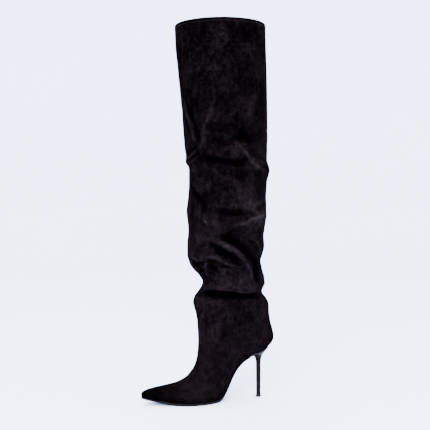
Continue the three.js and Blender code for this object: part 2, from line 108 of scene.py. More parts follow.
@dataclass(frozen=True)
class PlanRow:
    """Plan of the sole: station from toe to heel, edges as shares of the ball's width."""

    station: float
    inner: float
    outer: float


@dataclass(frozen=True)
class FootRow:
    """A ring of the foot, in the shares that the solid's own rings use."""

    ahead: float
    rise: float
    behind: float
    heel_rise: float
    width: float
    oval: float
    follow: float


@dataclass(frozen=True)
class ShaftRow:
    """A ring of the shaft: heights as shares of the shaft's, the rest of a plain taper."""

    rise: float
    back_rise: float
    depth: float
    shift: float
    width: float


@dataclass(frozen=True)
class FoldRow:
    """A large fold of the shaft, between two turns in degrees; lengths are shares of the shaft's height."""

    turn_from: float
    turn_to: float
    low: float
    high: float
    bow: float
    push: float
    spread: float


@dataclass(frozen=True)
class HeelRow:
    """A ring of the heel: drawn in from the seat's rim (0) to the stem (1), below the seat by a share."""

    drawn: float
    drop: float


SOLE_ROWS = tuple(SoleRow(*row) for row in (
    (-0.073, 0.957), (0.0, 0.892), (0.064, 0.838), (0.101, 0.79), (0.138, 0.724), (0.179, 0.613),
    (0.214, 0.464), (0.246, 0.293), (0.277, 0.142), (0.306, 0.047), (0.339, 0.009), (0.382, 0.0),
    (0.585, 0.0),
))
TOE_ROLL_START = 0.585
TOE_ROLL_POWER = 1.5

PLAN_ROWS = tuple(PlanRow(*row) for row in (
    (0.0, 0.155, 0.013), (0.063, 0.214, 0.092), (0.116, 0.268, 0.162), (0.183, 0.342, 0.255),
    (0.25, 0.409, 0.342), (0.317, 0.462, 0.42), (0.375, 0.487, 0.47), (0.429, 0.482, 0.49),
    (0.496, 0.437, 0.462), (0.563, 0.357, 0.402), (0.63, 0.287, 0.348), (0.696, 0.259, 0.318),
    (0.786, 0.292, 0.325), (0.875, 0.334, 0.342), (1.0, 0.336, 0.336),
))

FOOT_ROWS = tuple(FootRow(*row) for row in (
    (0.8812, 0.0, 0.0726, 0.0, 0.968, 0.0, 1.0), (0.8843, 0.021, 0.093, 0.055, 1.018, 0.0, 1.0),
    (0.8812, 0.043, 0.106, 0.115, 1.042, 0.03, 0.99), (0.8525, 0.0675, 0.112, 0.175, 1.04, 0.1, 0.98),
    (0.7927, 0.0905, 0.1135, 0.235, 1.018, 0.24, 0.97), (0.7158, 0.107, 0.1125, 0.295, 0.991, 0.42, 0.95),
    (0.6346, 0.1265, 0.109, 0.36, 0.962, 0.62, 0.92), (0.5598, 0.176, 0.1045, 0.425, 0.938, 0.8, 0.87),
    (0.5128, 0.248, 0.0985, 0.49, 0.926, 0.93, 0.8), (0.4838, 0.323, 0.093, 0.555, 0.925, 1.0, 0.71),
    (0.4684, 0.408, 0.088, 0.625, 0.931, 1.0, 0.6), (0.4607, 0.505, 0.084, 0.695, 0.945, 1.0, 0.48),
    (0.4581, 0.608, 0.08, 0.765, 0.961, 1.0, 0.36), (0.4607, 0.718, 0.077, 0.84, 0.974, 1.0, 0.24),
    (0.465, 0.83, 0.0755, 0.915, 0.986, 1.0, 0.13), (0.4752, 0.926, 0.075, 0.99, 1.001, 1.0, 0.05),
))

SHAFT_ROWS = tuple(ShaftRow(*row) for row in (
    (0.0, 0.014, 1.014, 0.0138, 1.004), (0.017, 0.027, 0.998, 0.0287, 1.014),
    (0.037, 0.042, 0.94, 0.0322, 0.995), (0.056, 0.057, 0.87, 0.0138, 0.96),
    (0.073, 0.072, 0.828, -0.0098, 0.974), (0.089, 0.088, 0.819, -0.0225, 1.025),
    (0.11, 0.107, 0.857, -0.0101, 1.094), (0.134, 0.13, 0.91, 0.0294, 1.159),
    (0.157, 0.151, 0.945, 0.0548, 1.2), (0.18, 0.173, 0.963, 0.0614, 1.214),
    (0.219, 0.213, 0.974, 0.052, 1.214), (0.277, 0.271, 0.972, 0.028, 1.181),
    (0.339, 0.333, 0.996, 0.0232, 1.158), (0.384, 0.378, 0.979, 0.0065, 1.143),
    (0.436, 0.43, 0.955, -0.0072, 1.117), (0.494, 0.488, 0.95, -0.0159, 1.098),
    (0.519, 0.514, 0.984, -0.0017, 1.095), (0.539, 0.535, 0.98, -0.0075, 1.09),
    (0.581, 0.577, 0.993, -0.007, 1.086), (0.657, 0.653, 1.0, -0.0078, 1.071),
    (0.736, 0.733, 1.003, -0.0076, 1.054), (0.835, 0.835, 1.01, -0.0033, 1.038),
    (0.922, 0.925, 1.013, 0.0032, 1.021), (1.0, 1.008, 1.0, 0.0016, 1.0),
))

FOLD_ROWS = tuple(FoldRow(*row) for row in (
    (8, 170, 0.057, 0.054, 0.0, -0.017, 0.015), (192, 350, 0.062, 0.04, 0.014, -0.015, 0.016),
    (24, 168, 0.105, 0.086, -0.006, 0.01, 0.017), (200, 340, 0.086, 0.104, 0.01, 0.01, 0.018),
    (12, 70, 0.134, 0.13, 0.0, -0.01, 0.016), (14, 84, 0.18, 0.166, 0.004, 0.009, 0.018),
    (46, 128, 0.236, 0.148, 0.018, 0.015, 0.021), (64, 160, 0.27, 0.19, 0.014, -0.015, 0.024),
    (100, 158, 0.17, 0.14, 0.0, 0.01, 0.024), (134, 224, 0.152, 0.158, 0.0, -0.011, 0.024),
    (72, 170, 0.282, 0.33, 0.004, 0.012, 0.023), (20, 124, 0.372, 0.352, 0.004, -0.012, 0.024),
    (22, 134, 0.524, 0.506, 0.004, -0.014, 0.021), (40, 112, 0.566, 0.572, 0.006, 0.008, 0.024),
    (96, 186, 0.56, 0.47, -0.01, 0.012, 0.024), (84, 156, 0.62, 0.57, 0.0, -0.01, 0.03),
    (10, 56, 0.66, 0.58, 0.01, -0.008, 0.026), (214, 346, 0.29, 0.33, -0.02, 0.014, 0.03),
    (230, 346, 0.168, 0.158, -0.004, -0.014, 0.022), (214, 350, 0.222, 0.196, 0.012, 0.012, 0.02),
    (160, 240, 0.272, 0.256, 0.0, -0.01, 0.024), (222, 340, 0.53, 0.55, -0.01, -0.012, 0.026),
    (210, 322, 0.6, 0.49, 0.01, 0.009, 0.028), (236, 340, 0.76, 0.7, 0.02, -0.008, 0.045),
    (40, 150, 0.84, 0.78, 0.0, 0.006, 0.06),
))
FOLD_END_SHARE = 0.4

HEEL_ROWS = tuple(HeelRow(*row) for row in (
    (0.0, 0.0), (0.03, 0.022), (0.16, 0.044), (0.36, 0.067), (0.58, 0.094), (0.76, 0.128), (0.89, 0.168),
    (0.96, 0.21), (1.0, 0.27), (1.0, 0.5),
))


def part_way(value: np.ndarray, low: float, high: float) -> np.ndarray:
    """How far values have come from low (0) to high (1)."""
    return np.clip((value - low) / (high - low), 0, 1)


def eased(share: np.ndarray) -> np.ndarray:
    """A share from 0 to 1 that starts and ends softly."""
    return share * share * (3 - 2 * share)


def bell(off: np.ndarray) -> np.ndarray:
    """A soft swell: 1 in the middle, where off is 0, and fading on both sides."""
    return np.exp(-off ** 2)


def run_along(points: np.ndarray) -> np.ndarray:
    """Distance from the start of a line to each of its points."""
    return np.concatenate([[0], np.cumsum(np.linalg.norm(np.diff(points, axis=0), axis=1))])


def quarter_turn(steps: int = 4) -> list[Point]:
    """Sine and cosine at even steps of a quarter turn."""
    return [(math.sin(math.pi / 2 * k / steps), math.cos(math.pi / 2 * k / steps)) for k in range(steps + 1)]


class ThroughCurve:
    """A smooth curve through the rows of a table, with no overshoot between them."""

    def __init__(self, x: Sequence[float], y: Sequence[float]) -> None:
        """Sets the curve through its rows.

        Args:
            x: where the rows stand, rising.
            y: the value of each row.
        """
        self.x = np.asarray(x, float)
        self.y = np.asarray(y, float)
        rate = np.diff(self.y) / np.diff(self.x)
        self.slope = np.zeros(len(self.y))
        self.slope[0] = rate[0]
        self.slope[-1] = rate[-1]
        for i in range(1, len(self.y) - 1):
            if rate[i - 1] * rate[i] > 0:
                self.slope[i] = 2 * rate[i - 1] * rate[i] / (rate[i - 1] + rate[i])

    def __call__(self, at: np.ndarray | float) -> np.ndarray:
        """Values of the curve.

        Args:
            at: where to read it; it is level past both ends.

        Returns:
            The values, in the shape of the places.
        """
        at = np.clip(np.asarray(at, float), self.x[0], self.x[-1])
        i = np.clip(np.searchsorted(self.x, at, side="right") - 1, 0, len(self.x) - 2)
        width = self.x[i + 1] - self.x[i]
        t = (at - self.x[i]) / width
        return (
            self.y[i] * (1 + 2 * t) * (1 - t) ** 2
            + self.slope[i] * width * t * (1 - t) ** 2
            + self.y[i + 1] * t * t * (3 - 2 * t)
            + self.slope[i + 1] * width * t * t * (t - 1)
        )


def curves(rows: Sequence[object], key: str | None = None) -> dict[str, ThroughCurve]:
    """A curve through each column of a table.

    Args:
        rows: the table.
        key: the column that says where a row stands, if not its number.

    Returns:
        The curves, by the names of their columns.
    """
    at = [getattr(row, key) for row in rows] if key else range(len(rows))
    return {f.name: ThroughCurve(at, [getattr(row, f.name) for row in rows]) for f in fields(rows[0])}


class Last:
    """The form that the boot is pulled over: sole line, plan, foot rings and shaft rings."""

    def __init__(self, sizes: BootSizes, stem: Vector) -> None:
        """Sets up the last.

        Args:
            sizes: the boot's sizes.
            stem: the axis of the heel stem in the frame, at the floor.
        """
        self.sizes = sizes
        self.stem = stem
        self.under_share = curves(SOLE_ROWS, "ahead")["height"]
        self.plan_shares = curves(PLAN_ROWS, "station")
        self.widest_half = max((r.inner + r.outer) * sizes.ball_width / 2 for r in PLAN_ROWS)
        self.foot = curves(FOOT_ROWS)
        self.shaft = curves(SHAFT_ROWS)

    def underside(self, ahead: np.ndarray) -> np.ndarray:
        """Height of the sole's underside at places ahead of the stem."""
        s = self.sizes
        start = TOE_ROLL_START * s.boot_length
        roll = np.clip((ahead - start) / (s.toe_tip - start), 0, None)
        lift = s.toe_spring * roll ** TOE_ROLL_POWER
        return self.under_share(ahead / s.boot_length) * s.heel_height + lift

    def above(self, ahead: np.ndarray, distance: float) -> np.ndarray:
        """Height of a surface that lies a distance above the underside, square to it."""
        slope = (self.underside(ahead + MM) - self.underside(ahead - MM)) / (2 * MM)
        return self.underside(ahead) + distance * np.hypot(1, slope)

    def seam(self, ahead: np.ndarray) -> np.ndarray:
        """Height of the upper's foot, where it meets the sole; level past both ends of the sole."""
        on_sole = np.clip(ahead, -self.sizes.seat_setback, self.sizes.toe_tip)
        return self.above(on_sole, self.sizes.sole_thickness + self.sizes.seat_gap)

    def plan(self, station: np.ndarray) -> tuple[np.ndarray, np.ndarray]:
        """Plan of the sole.

        Args:
            station: places from the toe tip (0) to the heel (1).

        Returns:
            Half the breadth, and where the middle line lies across.
        """
        s = self.sizes
        inner = self.plan_shares["inner"](station) * s.ball_width
        outer = self.plan_shares["outer"](station) * s.ball_width

        def round_end(distance: np.ndarray, radius: float) -> np.ndarray:
            """Share of the breadth that a round end leaves."""
            return np.sqrt(1 - (1 - np.clip(distance / radius, 0, 1)) ** 2)

        ends = round_end(station * s.seat_length, s.toe_tip_radius)
        ends = ends * round_end((1 - station) * s.seat_length, s.heel_seat_radius)
        return (inner + outer) / 2 * ends, (inner - outer) / 2

    def foot_ring(self, at: np.ndarray, angle: np.ndarray) -> np.ndarray:
        """Places on the rings of the foot.

        Args:
            at: the row each place belongs to, fractions between rows.
            angle: the turn round the ring in radians, from the toe over the inner side.

        Returns:
            Rows of across, ahead and up.
        """
        s = self.sizes
        row = {name: curve(at) for name, curve in self.foot.items()}
        ahead = row["ahead"] * s.boot_length
        behind = -row["behind"] * s.boot_length
        seam_front = self.seam(np.array(s.toe_tip))
        seam_back = self.seam(np.array(-s.seat_setback))
        front_up = seam_front + row["rise"] * (s.ankle_height - seam_front)
        back_up = seam_back + row["heel_rise"] * (s.ankle_height - seam_back)
        arch_front = self.seam(ahead)
        station = (1 - np.cos(angle)) / 2
        place = ahead + (behind - ahead) * station
        half, middle = self.plan(station)
        breadth = s.ball_width * row["follow"] + s.ankle_width * (1 - row["follow"])
        share = (1 - row["oval"]) * (half / self.widest_half) + row["oval"] * np.abs(np.sin(angle))
        across = middle * (1 - row["oval"]) + np.sign(np.sin(angle)) * share * row["width"] * breadth / 2
        arch = self.seam(place) - (arch_front + (self.seam(behind) - arch_front) * station)
        line = front_up + (back_up - front_up) * station
        return np.stack([across, place, line + row["follow"] * arch], -1)

    def shaft_ring(self, at: np.ndarray, angle: np.ndarray) -> np.ndarray:
        """Places on the rings of the shaft, before its folds, as foot_ring gives the foot's."""
        s = self.sizes
        row = {name: curve(at) for name, curve in self.shaft.items()}
        ankle_front = FOOT_ROWS[-1].ahead * s.boot_length
        ankle_back = -FOOT_ROWS[-1].behind * s.boot_length
        rise = row["rise"]
        depth = row["depth"] * (ankle_front - ankle_back + (s.collar_depth - ankle_front + ankle_back) * rise)
        width = row["width"] * (s.ankle_width + (s.collar_width - s.ankle_width) * rise)
        middle = (ankle_front + ankle_back) / 2 + rise * s.collar_lean + row["shift"] * s.collar_depth
        station = (1 - np.cos(angle)) / 2
        up = s.ankle_height + (rise + (row["back_rise"] - rise) * station) * s.shaft_height
        return np.stack([np.sin(angle) * width / 2, middle + np.cos(angle) * depth / 2, up], -1)

    def fold_push(self, turn: np.ndarray, rise: np.ndarray) -> np.ndarray:
        """How far the large folds move the wall out.

        Args:
            turn: turns round the shaft in degrees.
            rise: heights above the ankle as shares of the shaft's height.

        Returns:
            The moves in metres.
        """
        total = np.zeros_like(rise)
        for fold in FOLD_ROWS:
            share = np.mod(turn - fold.turn_from, 360) / (fold.turn_to - fold.turn_from)
            fade = np.clip(np.minimum(share, 1 - share) / FOLD_END_SHARE, 0, 1)
            line = fold.low + (fold.high - fold.low) * share + fold.bow * 4 * share * (1 - share)
            swell = eased(fade) * bell((rise - line) / fold.spread)
            total += np.where(share <= 1, fold.push * self.sizes.shaft_height * swell, 0)
        return total

    def surface(self, at: np.ndarray, angle: np.ndarray) -> np.ndarray:
        """The upper's outer face.

        Args:
            at: rows counted from the sole's seam, through the foot's and on through the shaft's.
            angle: turns in radians.

        Returns:
            Rows of across, ahead and up.
        """
        s = self.sizes
        foot_last = len(FOOT_ROWS) - 1
        foot = self.foot_ring(np.clip(at, 0, foot_last), angle)
        shaft = self.shaft_ring(np.clip(at - foot_last - 1, 0, None), angle)
        push = self.fold_push(np.degrees(angle), (shaft[..., 2] - s.ankle_height) / s.shaft_height)
        out = np.stack([np.sin(angle) * s.collar_depth, np.cos(angle) * s.collar_width], -1)
        out /= np.linalg.norm(out, axis=-1, keepdims=True)
        shaft[..., :2] += out * push[..., None]
        step = np.clip(at - foot_last, 0, 1)[..., None]
        return foot * (1 - step) + shaft * step

    def to_frame(self, places: np.ndarray) -> np.ndarray:
        """Places given as across, ahead and up, in the frame's own axes."""
        return np.stack([self.stem.x + places[..., 0], self.stem.y - places[..., 1], places[..., 2]], -1)


class Profile(Enum):
    """Cross-section of a crease."""

    RIDGE = "a soft ridge"
    TROUGH = "a soft trough"
    LAP = "a swell that drops off sharply on its right-hand side"


@dataclass(frozen=True)
class Crease:
    """A listed crease: turns in degrees from the toe over the inner side, heights in millimetres."""

    profile: Profile
    depth: float
    width: float
    path: tuple[Point, ...]


@dataclass(frozen=True)
class ShadeStroke:
    """A painted highlight or shade along a fold, placed as a crease is: highlight where the tone is above 0,
    else shade.
    """

    tone: float
    width: float
    path: tuple[Point, ...]


RIDGE, TROUGH, LAP = Profile

CREASES = tuple(Crease(*row[:3], row[3:]) for row in (
    # Knee, inner side
    (TROUGH, 2.8, 3.6, (19, 508), (24, 486), (29, 464), (34, 446), (37, 431)),
    (RIDGE, 2.6, 2.8, (12, 508), (14, 496), (20, 469), (27, 446), (32, 430)),
    (RIDGE, 2.4, 2.2, (2, 411), (10, 413), (24, 418), (38, 427)),
    (RIDGE, 2.2, 2.0, (2, 402), (12, 405), (27, 410), (40, 418)),
    (TROUGH, 2.6, 2.4, (4, 420), (14, 422), (24, 426), (34, 433)),
    (TROUGH, 2.4, 2.0, (4, 406), (14, 409), (26, 414), (36, 422)),
    (RIDGE, 1.6, 6.0, (62, 500), (55, 480), (46, 456), (43, 438), (46, 424)),
    (LAP, 3.6, 8.0, (34, 416), (58, 415), (80, 412), (100, 403)),
    (RIDGE, 2.8, 3.2, (78, 440), (92, 429), (104, 416), (116, 402), (132, 391), (146, 387)),
    (TROUGH, 1.5, 8.0, (88, 454), (102, 446), (118, 430)),
    (TROUGH, 1.6, 6.0, (58, 392), (80, 384), (112, 378)),
    (RIDGE, 1.4, 8.0, (70, 372), (96, 362), (124, 362)),
    # Calf, inner side
    (TROUGH, 2.8, 6.0, (54, 322), (66, 324), (78, 321), (92, 320), (106, 322), (122, 318)),
    (TROUGH, 2.4, 4.0, (6, 366), (14, 358), (31, 345), (39, 333), (44, 318)),
    (RIDGE, 2.6, 4.0, (92, 318), (106, 327), (120, 333), (140, 340), (158, 344)),
    (TROUGH, 1.8, 4.5, (14, 352), (20, 336), (18, 318), (12, 304)),
    (RIDGE, 2.0, 4.5, (78, 292), (94, 300), (112, 306), (134, 316), (152, 326)),
    (RIDGE, 1.5, 6.0, (30, 312), (52, 306), (72, 297)),
    (TROUGH, 3.6, 6.5, (58, 283), (70, 281), (82, 275), (95, 266), (109, 252), (120, 238)),
    (RIDGE, 2.6, 3.8, (110, 284), (123, 277), (134, 269), (142, 259), (145, 246)),
    # Slouch and ankle, inner side
    (RIDGE, 4.4, 4.8, (48, 276), (65, 272), (77, 265), (90, 257), (101, 245), (110, 232), (112, 219),
     (104, 209)),
    (RIDGE, 3.0, 4.2, (106, 211), (94, 211), (85, 204), (85, 197), (94, 192), (109, 188), (136, 187),
     (156, 190)),
    (TROUGH, 3.8, 5.4, (42, 268), (58, 265), (72, 256), (88, 245), (102, 235)),
    (LAP, 3.6, 4.4, (4, 248), (16, 246), (30, 242), (44, 243), (56, 247), (68, 241), (82, 233), (95, 231)),
    (TROUGH, 3.6, 5.0, (46, 234), (53, 229), (60, 223)),
    (RIDGE, 2.2, 3.0, (46, 243), (43, 234), (33, 222), (24, 212)),
    (TROUGH, 2.2, 4.0, (12, 238), (22, 232), (22, 220), (16, 210)),
    (TROUGH, 4.4, 6.0, (113, 247), (121, 234), (122, 218), (115, 201)),
    (RIDGE, 2.0, 4.5, (60, 218), (70, 209), (74, 199), (70, 192)),
    (LAP, 4.0, 6.5, (14, 197), (34, 194), (60, 193), (88, 192), (118, 190), (146, 190)),
    (TROUGH, 2.6, 4.0, (10, 190), (30, 185), (60, 182), (92, 180), (126, 179), (150, 181)),
    (RIDGE, 1.6, 4.5, (60, 170), (36, 158), (20, 142), (11, 124), (8, 106), (12, 88)),
    (TROUGH, 1.0, 6.0, (70, 160), (44, 142), (28, 122), (24, 102)),
    (RIDGE, 1.2, 5.0, (14, 178), (40, 172), (66, 171)),
    # Outer side
    (TROUGH, 3.0, 5.0, (-8, 505), (-20, 478), (-34, 456), (-52, 440)),
    (LAP, 3.2, 6.0, (-150, 398), (-122, 404), (-94, 414), (-66, 420), (-38, 417), (-12, 412)),
    (RIDGE, 3.0, 5.0, (-34, 462), (-56, 448), (-78, 436), (-104, 430), (-130, 434)),
    (TROUGH, 2.6, 7.0, (-54, 470), (-78, 456), (-104, 452), (-128, 460)),
    (RIDGE, 2.0, 7.0, (-70, 520), (-84, 496), (-92, 474)),
    (TROUGH, 2.6, 6.0, (-14, 336), (-40, 344), (-68, 342), (-98, 332), (-128, 322)),
    (RIDGE, 2.6, 5.0, (-56, 318), (-80, 326), (-106, 318), (-132, 304), (-156, 296)),
    (RIDGE, 2.0, 5.0, (-26, 366), (-46, 358), (-72, 362), (-92, 372)),
    (RIDGE, 4.2, 6.0, (-28, 270), (-54, 272), (-78, 262), (-98, 246), (-122, 236), (-150, 236)),
    (TROUGH, 3.6, 6.0, (-34, 256), (-58, 256), (-80, 246), (-98, 230), (-112, 222)),
    (LAP, 3.6, 5.5, (-142, 212), (-116, 210), (-92, 220), (-66, 236), (-40, 243), (-14, 238)),
    (TROUGH, 3.0, 5.0, (-46, 228), (-66, 220), (-84, 208)),
    (RIDGE, 2.6, 4.5, (-22, 220), (-42, 214), (-62, 204), (-86, 196)),
    (LAP, 4.0, 6.5, (-158, 186), (-128, 188), (-98, 194), (-68, 198), (-38, 196), (-14, 192)),
    (TROUGH, 2.6, 4.5, (-12, 184), (-40, 186), (-72, 185), (-104, 178), (-138, 174)),
    (TROUGH, 1.4, 4.5, (-30, 160), (-46, 146), (-54, 130)),
    # Back of the shaft
    (TROUGH, 1.6, 8.0, (138, 290), (160, 283), (180, 285), (204, 294)),
    (RIDGE, 1.6, 7.5, (132, 262), (156, 260), (180, 268), (206, 280)),
    (LAP, 2.0, 7.0, (212, 252), (190, 240), (168, 232), (146, 234)),
    (TROUGH, 1.6, 7.0, (152, 220), (170, 212), (192, 214), (214, 224)),
    (RIDGE, 1.4, 6.5, (144, 200), (168, 198), (194, 204), (212, 212)),
    (TROUGH, 1.6, 6.0, (150, 186), (172, 183), (194, 184), (214, 188)),
    (RIDGE, 1.2, 8.0, (158, 392), (176, 384), (194, 386), (214, 396)),
    (TROUGH, 1.2, 8.0, (150, 410), (170, 402), (192, 402), (212, 412)),
    (TROUGH, 1.2, 8.0, (152, 350), (174, 344), (198, 346)),
))

# Painted highlight (tone above 0) and painted shade (below 0) along the folds.
SHADE_STROKES = tuple(ShadeStroke(*row[:2], row[2:]) for row in (
    # Inner side
    (0.085, 1.8, (12, 508), (14, 496), (20, 469), (27, 446), (32, 430)),
    (-0.06, 2.6, (6, 496), (12, 478), (17, 460), (23, 436)),
    (-0.055, 3.0, (22, 496), (27, 474), (33, 452), (37, 432)),
    (0.07, 2.0, (62, 488), (52, 472), (45, 456), (43, 440), (44, 422)),
    (0.08, 1.6, (2, 411), (10, 413), (24, 418), (37, 427)),
    (0.07, 1.6, (2, 402), (12, 405), (27, 410), (38, 418)),
    (-0.08, 2.0, (4, 419), (12, 421), (24, 425), (34, 433)),
    (-0.08, 2.0, (4, 405), (14, 409), (26, 414), (36, 422)),
    (-0.035, 9.0, (58, 486), (70, 494), (86, 507)),
    (-0.03, 9.0, (88, 454), (102, 446), (118, 430)),
    (0.025, 9.0, (68, 434), (84, 426), (98, 413)),
    (0.07, 1.9, (82, 440), (94, 429), (104, 417), (115, 403), (135, 390), (150, 386)),
    (-0.075, 8.5, (14, 415), (34, 413), (57, 410), (80, 406), (101, 404), (114, 396)),
    (-0.045, 14.0, (120, 394), (126, 376), (128, 356), (124, 336)),
    (-0.05, 4.0, (6, 366), (14, 358), (31, 345), (38, 335), (43, 322), (45, 312)),
    (0.05, 5.0, (22, 318), (31, 323), (38, 330)),
    (0.025, 7.0, (38, 305), (54, 305), (68, 301)),
    (-0.08, 6.0, (62, 324), (78, 321), (92, 320), (104, 322)),
    (-0.045, 4.0, (64, 310), (74, 307)),
    (0.08, 1.7, (82, 295), (98, 303), (111, 310), (132, 315), (152, 321)),
    (-0.05, 4.0, (125, 299), (133, 289), (135, 277)),
    (0.06, 2.2, (108, 285), (123, 277), (134, 269), (142, 259), (145, 245)),
    (-0.068, 7.5, (64, 281), (82, 275), (95, 266), (109, 251), (120, 236), (121, 217), (114, 200)),
    (0.058, 2.4, (52, 275), (65, 272), (77, 265), (90, 257), (101, 245), (110, 232), (112, 219),
     (104, 209)),
    (0.045, 2.2, (104, 209), (92, 210), (84, 203), (84, 196), (92, 193), (109, 188), (138, 187)),
    (-0.055, 6.0, (54, 267), (72, 255), (90, 244), (104, 235)),
    (-0.045, 8.0, (28, 267), (42, 270), (52, 264)),
    (0.085, 1.8, (8, 248), (16, 246), (29, 242), (38, 240), (46, 239)),
    (0.065, 2.0, (47, 246), (54, 247), (63, 244), (76, 237), (86, 232), (98, 231)),
    (0.08, 2.4, (48, 245), (44, 235), (33, 222), (24, 211)),
    (-0.085, 4.6, (48, 233), (53, 229), (58, 224)),
    (-0.08, 4.0, (13, 238), (23, 231), (21, 219), (17, 210)),
    (0.075, 1.9, (51, 213), (66, 222), (78, 231)),
    (0.07, 1.9, (80, 231), (80, 223), (85, 214)),
    (0.07, 1.9, (98, 210), (103, 200), (116, 189)),
    (0.03, 8.0, (38, 211), (56, 208), (76, 202)),
    (-0.022, 26.0, (10, 238), (60, 240), (124, 236)),
    (0.05, 2.0, (40, 160), (24, 146), (14, 128), (11, 110), (14, 94)),
    (-0.045, 4.8, (8, 188), (41, 186), (79, 184), (101, 181), (129, 181), (152, 180)),
    # Outer side
    (-0.06, 4.0, (-10, 502), (-22, 478), (-36, 456), (-54, 440)),
    (0.045, 3.0, (-34, 464), (-56, 450), (-78, 438), (-104, 432), (-132, 436)),
    (-0.08, 6.0, (-20, 408), (-52, 412), (-84, 408), (-116, 396), (-146, 390)),
    (-0.07, 6.0, (-16, 334), (-44, 342), (-74, 340), (-104, 329), (-128, 320)),
    (0.045, 3.0, (-56, 320), (-80, 328), (-106, 320), (-134, 305)),
    (-0.07, 7.0, (-40, 287), (-66, 284), (-90, 270), (-112, 254)),
    (0.055, 4.0, (-28, 273), (-54, 275), (-78, 265), (-98, 249), (-122, 239)),
    (-0.08, 5.0, (-34, 256), (-58, 256), (-80, 246), (-98, 230), (-112, 222)),
    (-0.08, 5.0, (-44, 228), (-66, 220), (-86, 208)),
    (0.04, 3.0, (-22, 222), (-42, 216), (-62, 206), (-86, 198)),
    (-0.095, 5.0, (-12, 184), (-40, 186), (-72, 185), (-104, 178), (-140, 174)),
))

MM_PER_DEGREE = 1.13
CREASE_END_SHARE = 0.28
CREASE_REACH = 4
SHADE_STROKE_REACH = 3
LAP_SWELL_WIDTHS = (1.5, 0.42)
LAP_TROUGH_DEPTH = 0.55
LAP_TROUGH_WIDTH = 0.55


def smooth_path(points: Sequence[Point], steps: int = 7) -> np.ndarray:
    """A smooth line through a few points.

    Args:
        points: where the line goes.
        steps: how many pieces each stretch is cut into.

    Returns:
        The line's points.
    """
    p = np.asarray(points, float)
    p = np.vstack([2 * p[0] - p[1], p, 2 * p[-1] - p[-2]])
    t = np.arange(steps)[:, None] / steps
    parts = []
    for a, b, c, d in zip(p, p[1:], p[2:], p[3:]):
        bend = 2 * a - 5 * b + 4 * c - d
        twist = 3 * b - a - 3 * c + d
        parts.append(b + 0.5 * ((c - a) * t + bend * t ** 2 + twist * t ** 3))
    return np.vstack([*parts, p[-2:-1]])


@dataclass(frozen=True)
class LineView:
    """A line on the upper as seen from the places near it."""

    near: np.ndarray
    offset: np.ndarray
    fade: np.ndarray


def seen_line(turn: np.ndarray, height: np.ndarray, path: Sequence[Point], reach: float) -> LineView:
    """Sets places against a line that is laid on the upper.

    Args:
        turn: turns round the boot in degrees.
        height: heights over the floor in millimetres.
        path: the line's points, each a turn and a height.
        reach: how far from the line a place still counts, in millimetres.

    Returns:
        Which places are near, their distances with a sign for the side, and shares that fade at both ends.
    """
    lap = 360 * MM_PER_DEGREE
    line = smooth_path(path)
    line[:, 0] *= MM_PER_DEGREE
    low, high = line.min(0), line.max(0)
    x = turn * MM_PER_DEGREE
    x = x - lap * np.round((x - (low[0] + high[0]) / 2) / lap)
    near = (x > low[0] - reach) & (x < high[0] + reach)
    near &= (height > low[1] - reach) & (height < high[1] + reach)
    run = line[1:] - line[:-1]
    from_start = np.stack([x[near], height[near]], -1)[:, None, :] - line[None, :-1]
    share = np.clip((from_start * run).sum(-1) / (run * run).sum(-1), 0, 1)
    away = from_start - share[..., None] * run
    distance = np.hypot(away[..., 0], away[..., 1])
    best = distance.argmin(1)
    pick = np.arange(len(best))
    side = run[best, 0] * away[pick, best, 1] - run[best, 1] * away[pick, best, 0]
    offset = distance[pick, best] * np.where(side < 0, -1, 1)
    along = (best + share[pick, best]) / len(run)
    fade = np.clip(np.minimum(along, 1 - along) / CREASE_END_SHARE, 0, 1)
    return LineView(near, offset, eased(fade))


def crease_relief(turn: np.ndarray, height: np.ndarray) -> np.ndarray:
    """How far the creases raise or lower the surface.

    Args:
        turn: turns round the boot in degrees.
        height: heights over the floor in millimetres.

    Returns:
        The moves in millimetres, outwards where positive.
    """
    relief = np.zeros(turn.shape)
    for crease in CREASES:
        view = seen_line(turn, height, crease.path, crease.width * CREASE_REACH)
        offset = view.offset / crease.width
        if crease.profile is Profile.RIDGE:
            form = bell(offset)
        elif crease.profile is Profile.TROUGH:
            form = -bell(offset)
        else:
            form = bell(offset / np.where(offset > 0, *LAP_SWELL_WIDTHS))
            form -= LAP_TROUGH_DEPTH * bell((offset + 1.0) / LAP_TROUGH_WIDTH)
        relief[view.near] += crease.depth * view.fade * form
    return relief


def stroke_shade(turn: np.ndarray, height: np.ndarray) -> np.ndarray:
    """How much painted highlight (above 0) or painted shade the strokes put on each place; see crease_relief.
    """
    tone = np.zeros(turn.shape)
    for stroke in SHADE_STROKES:
        view = seen_line(turn, height, stroke.path, stroke.width * SHADE_STROKE_REACH)
        tone[view.near] += stroke.tone * view.fade * bell(view.offset / stroke.width)
    return tone


def laid_grid(places: np.ndarray, marks: dict[str, np.ndarray] | None = None) -> bmesh.types.BMesh:
    """A grid laid on rows of places.

    Args:
        places: rows of columns of points in metres.
        marks: values kept on the points under a name each, in the same rows and columns.

    Returns:
        The grid, with ends that meet sewn together.
    """
    rows, columns = places.shape[0] - 1, places.shape[1] - 1
    bm = bmesh.new()
    bmesh.ops.create_grid(bm, x_segments=columns, y_segments=rows, size=0.5)
    layers = [(bm.verts.layers.float.new(name), values) for name, values in (marks or {}).items()]
    for vert in bm.verts:
        row = round((vert.co.y + 0.5) * rows)
        column = round((vert.co.x + 0.5) * columns)
        vert.co = places[row, column]
        for layer, values in layers:
            vert[layer] = float(values[row, column])
    bmesh.ops.remove_doubles(bm, verts=bm.verts, dist=MERGE_DISTANCE)
    return bm


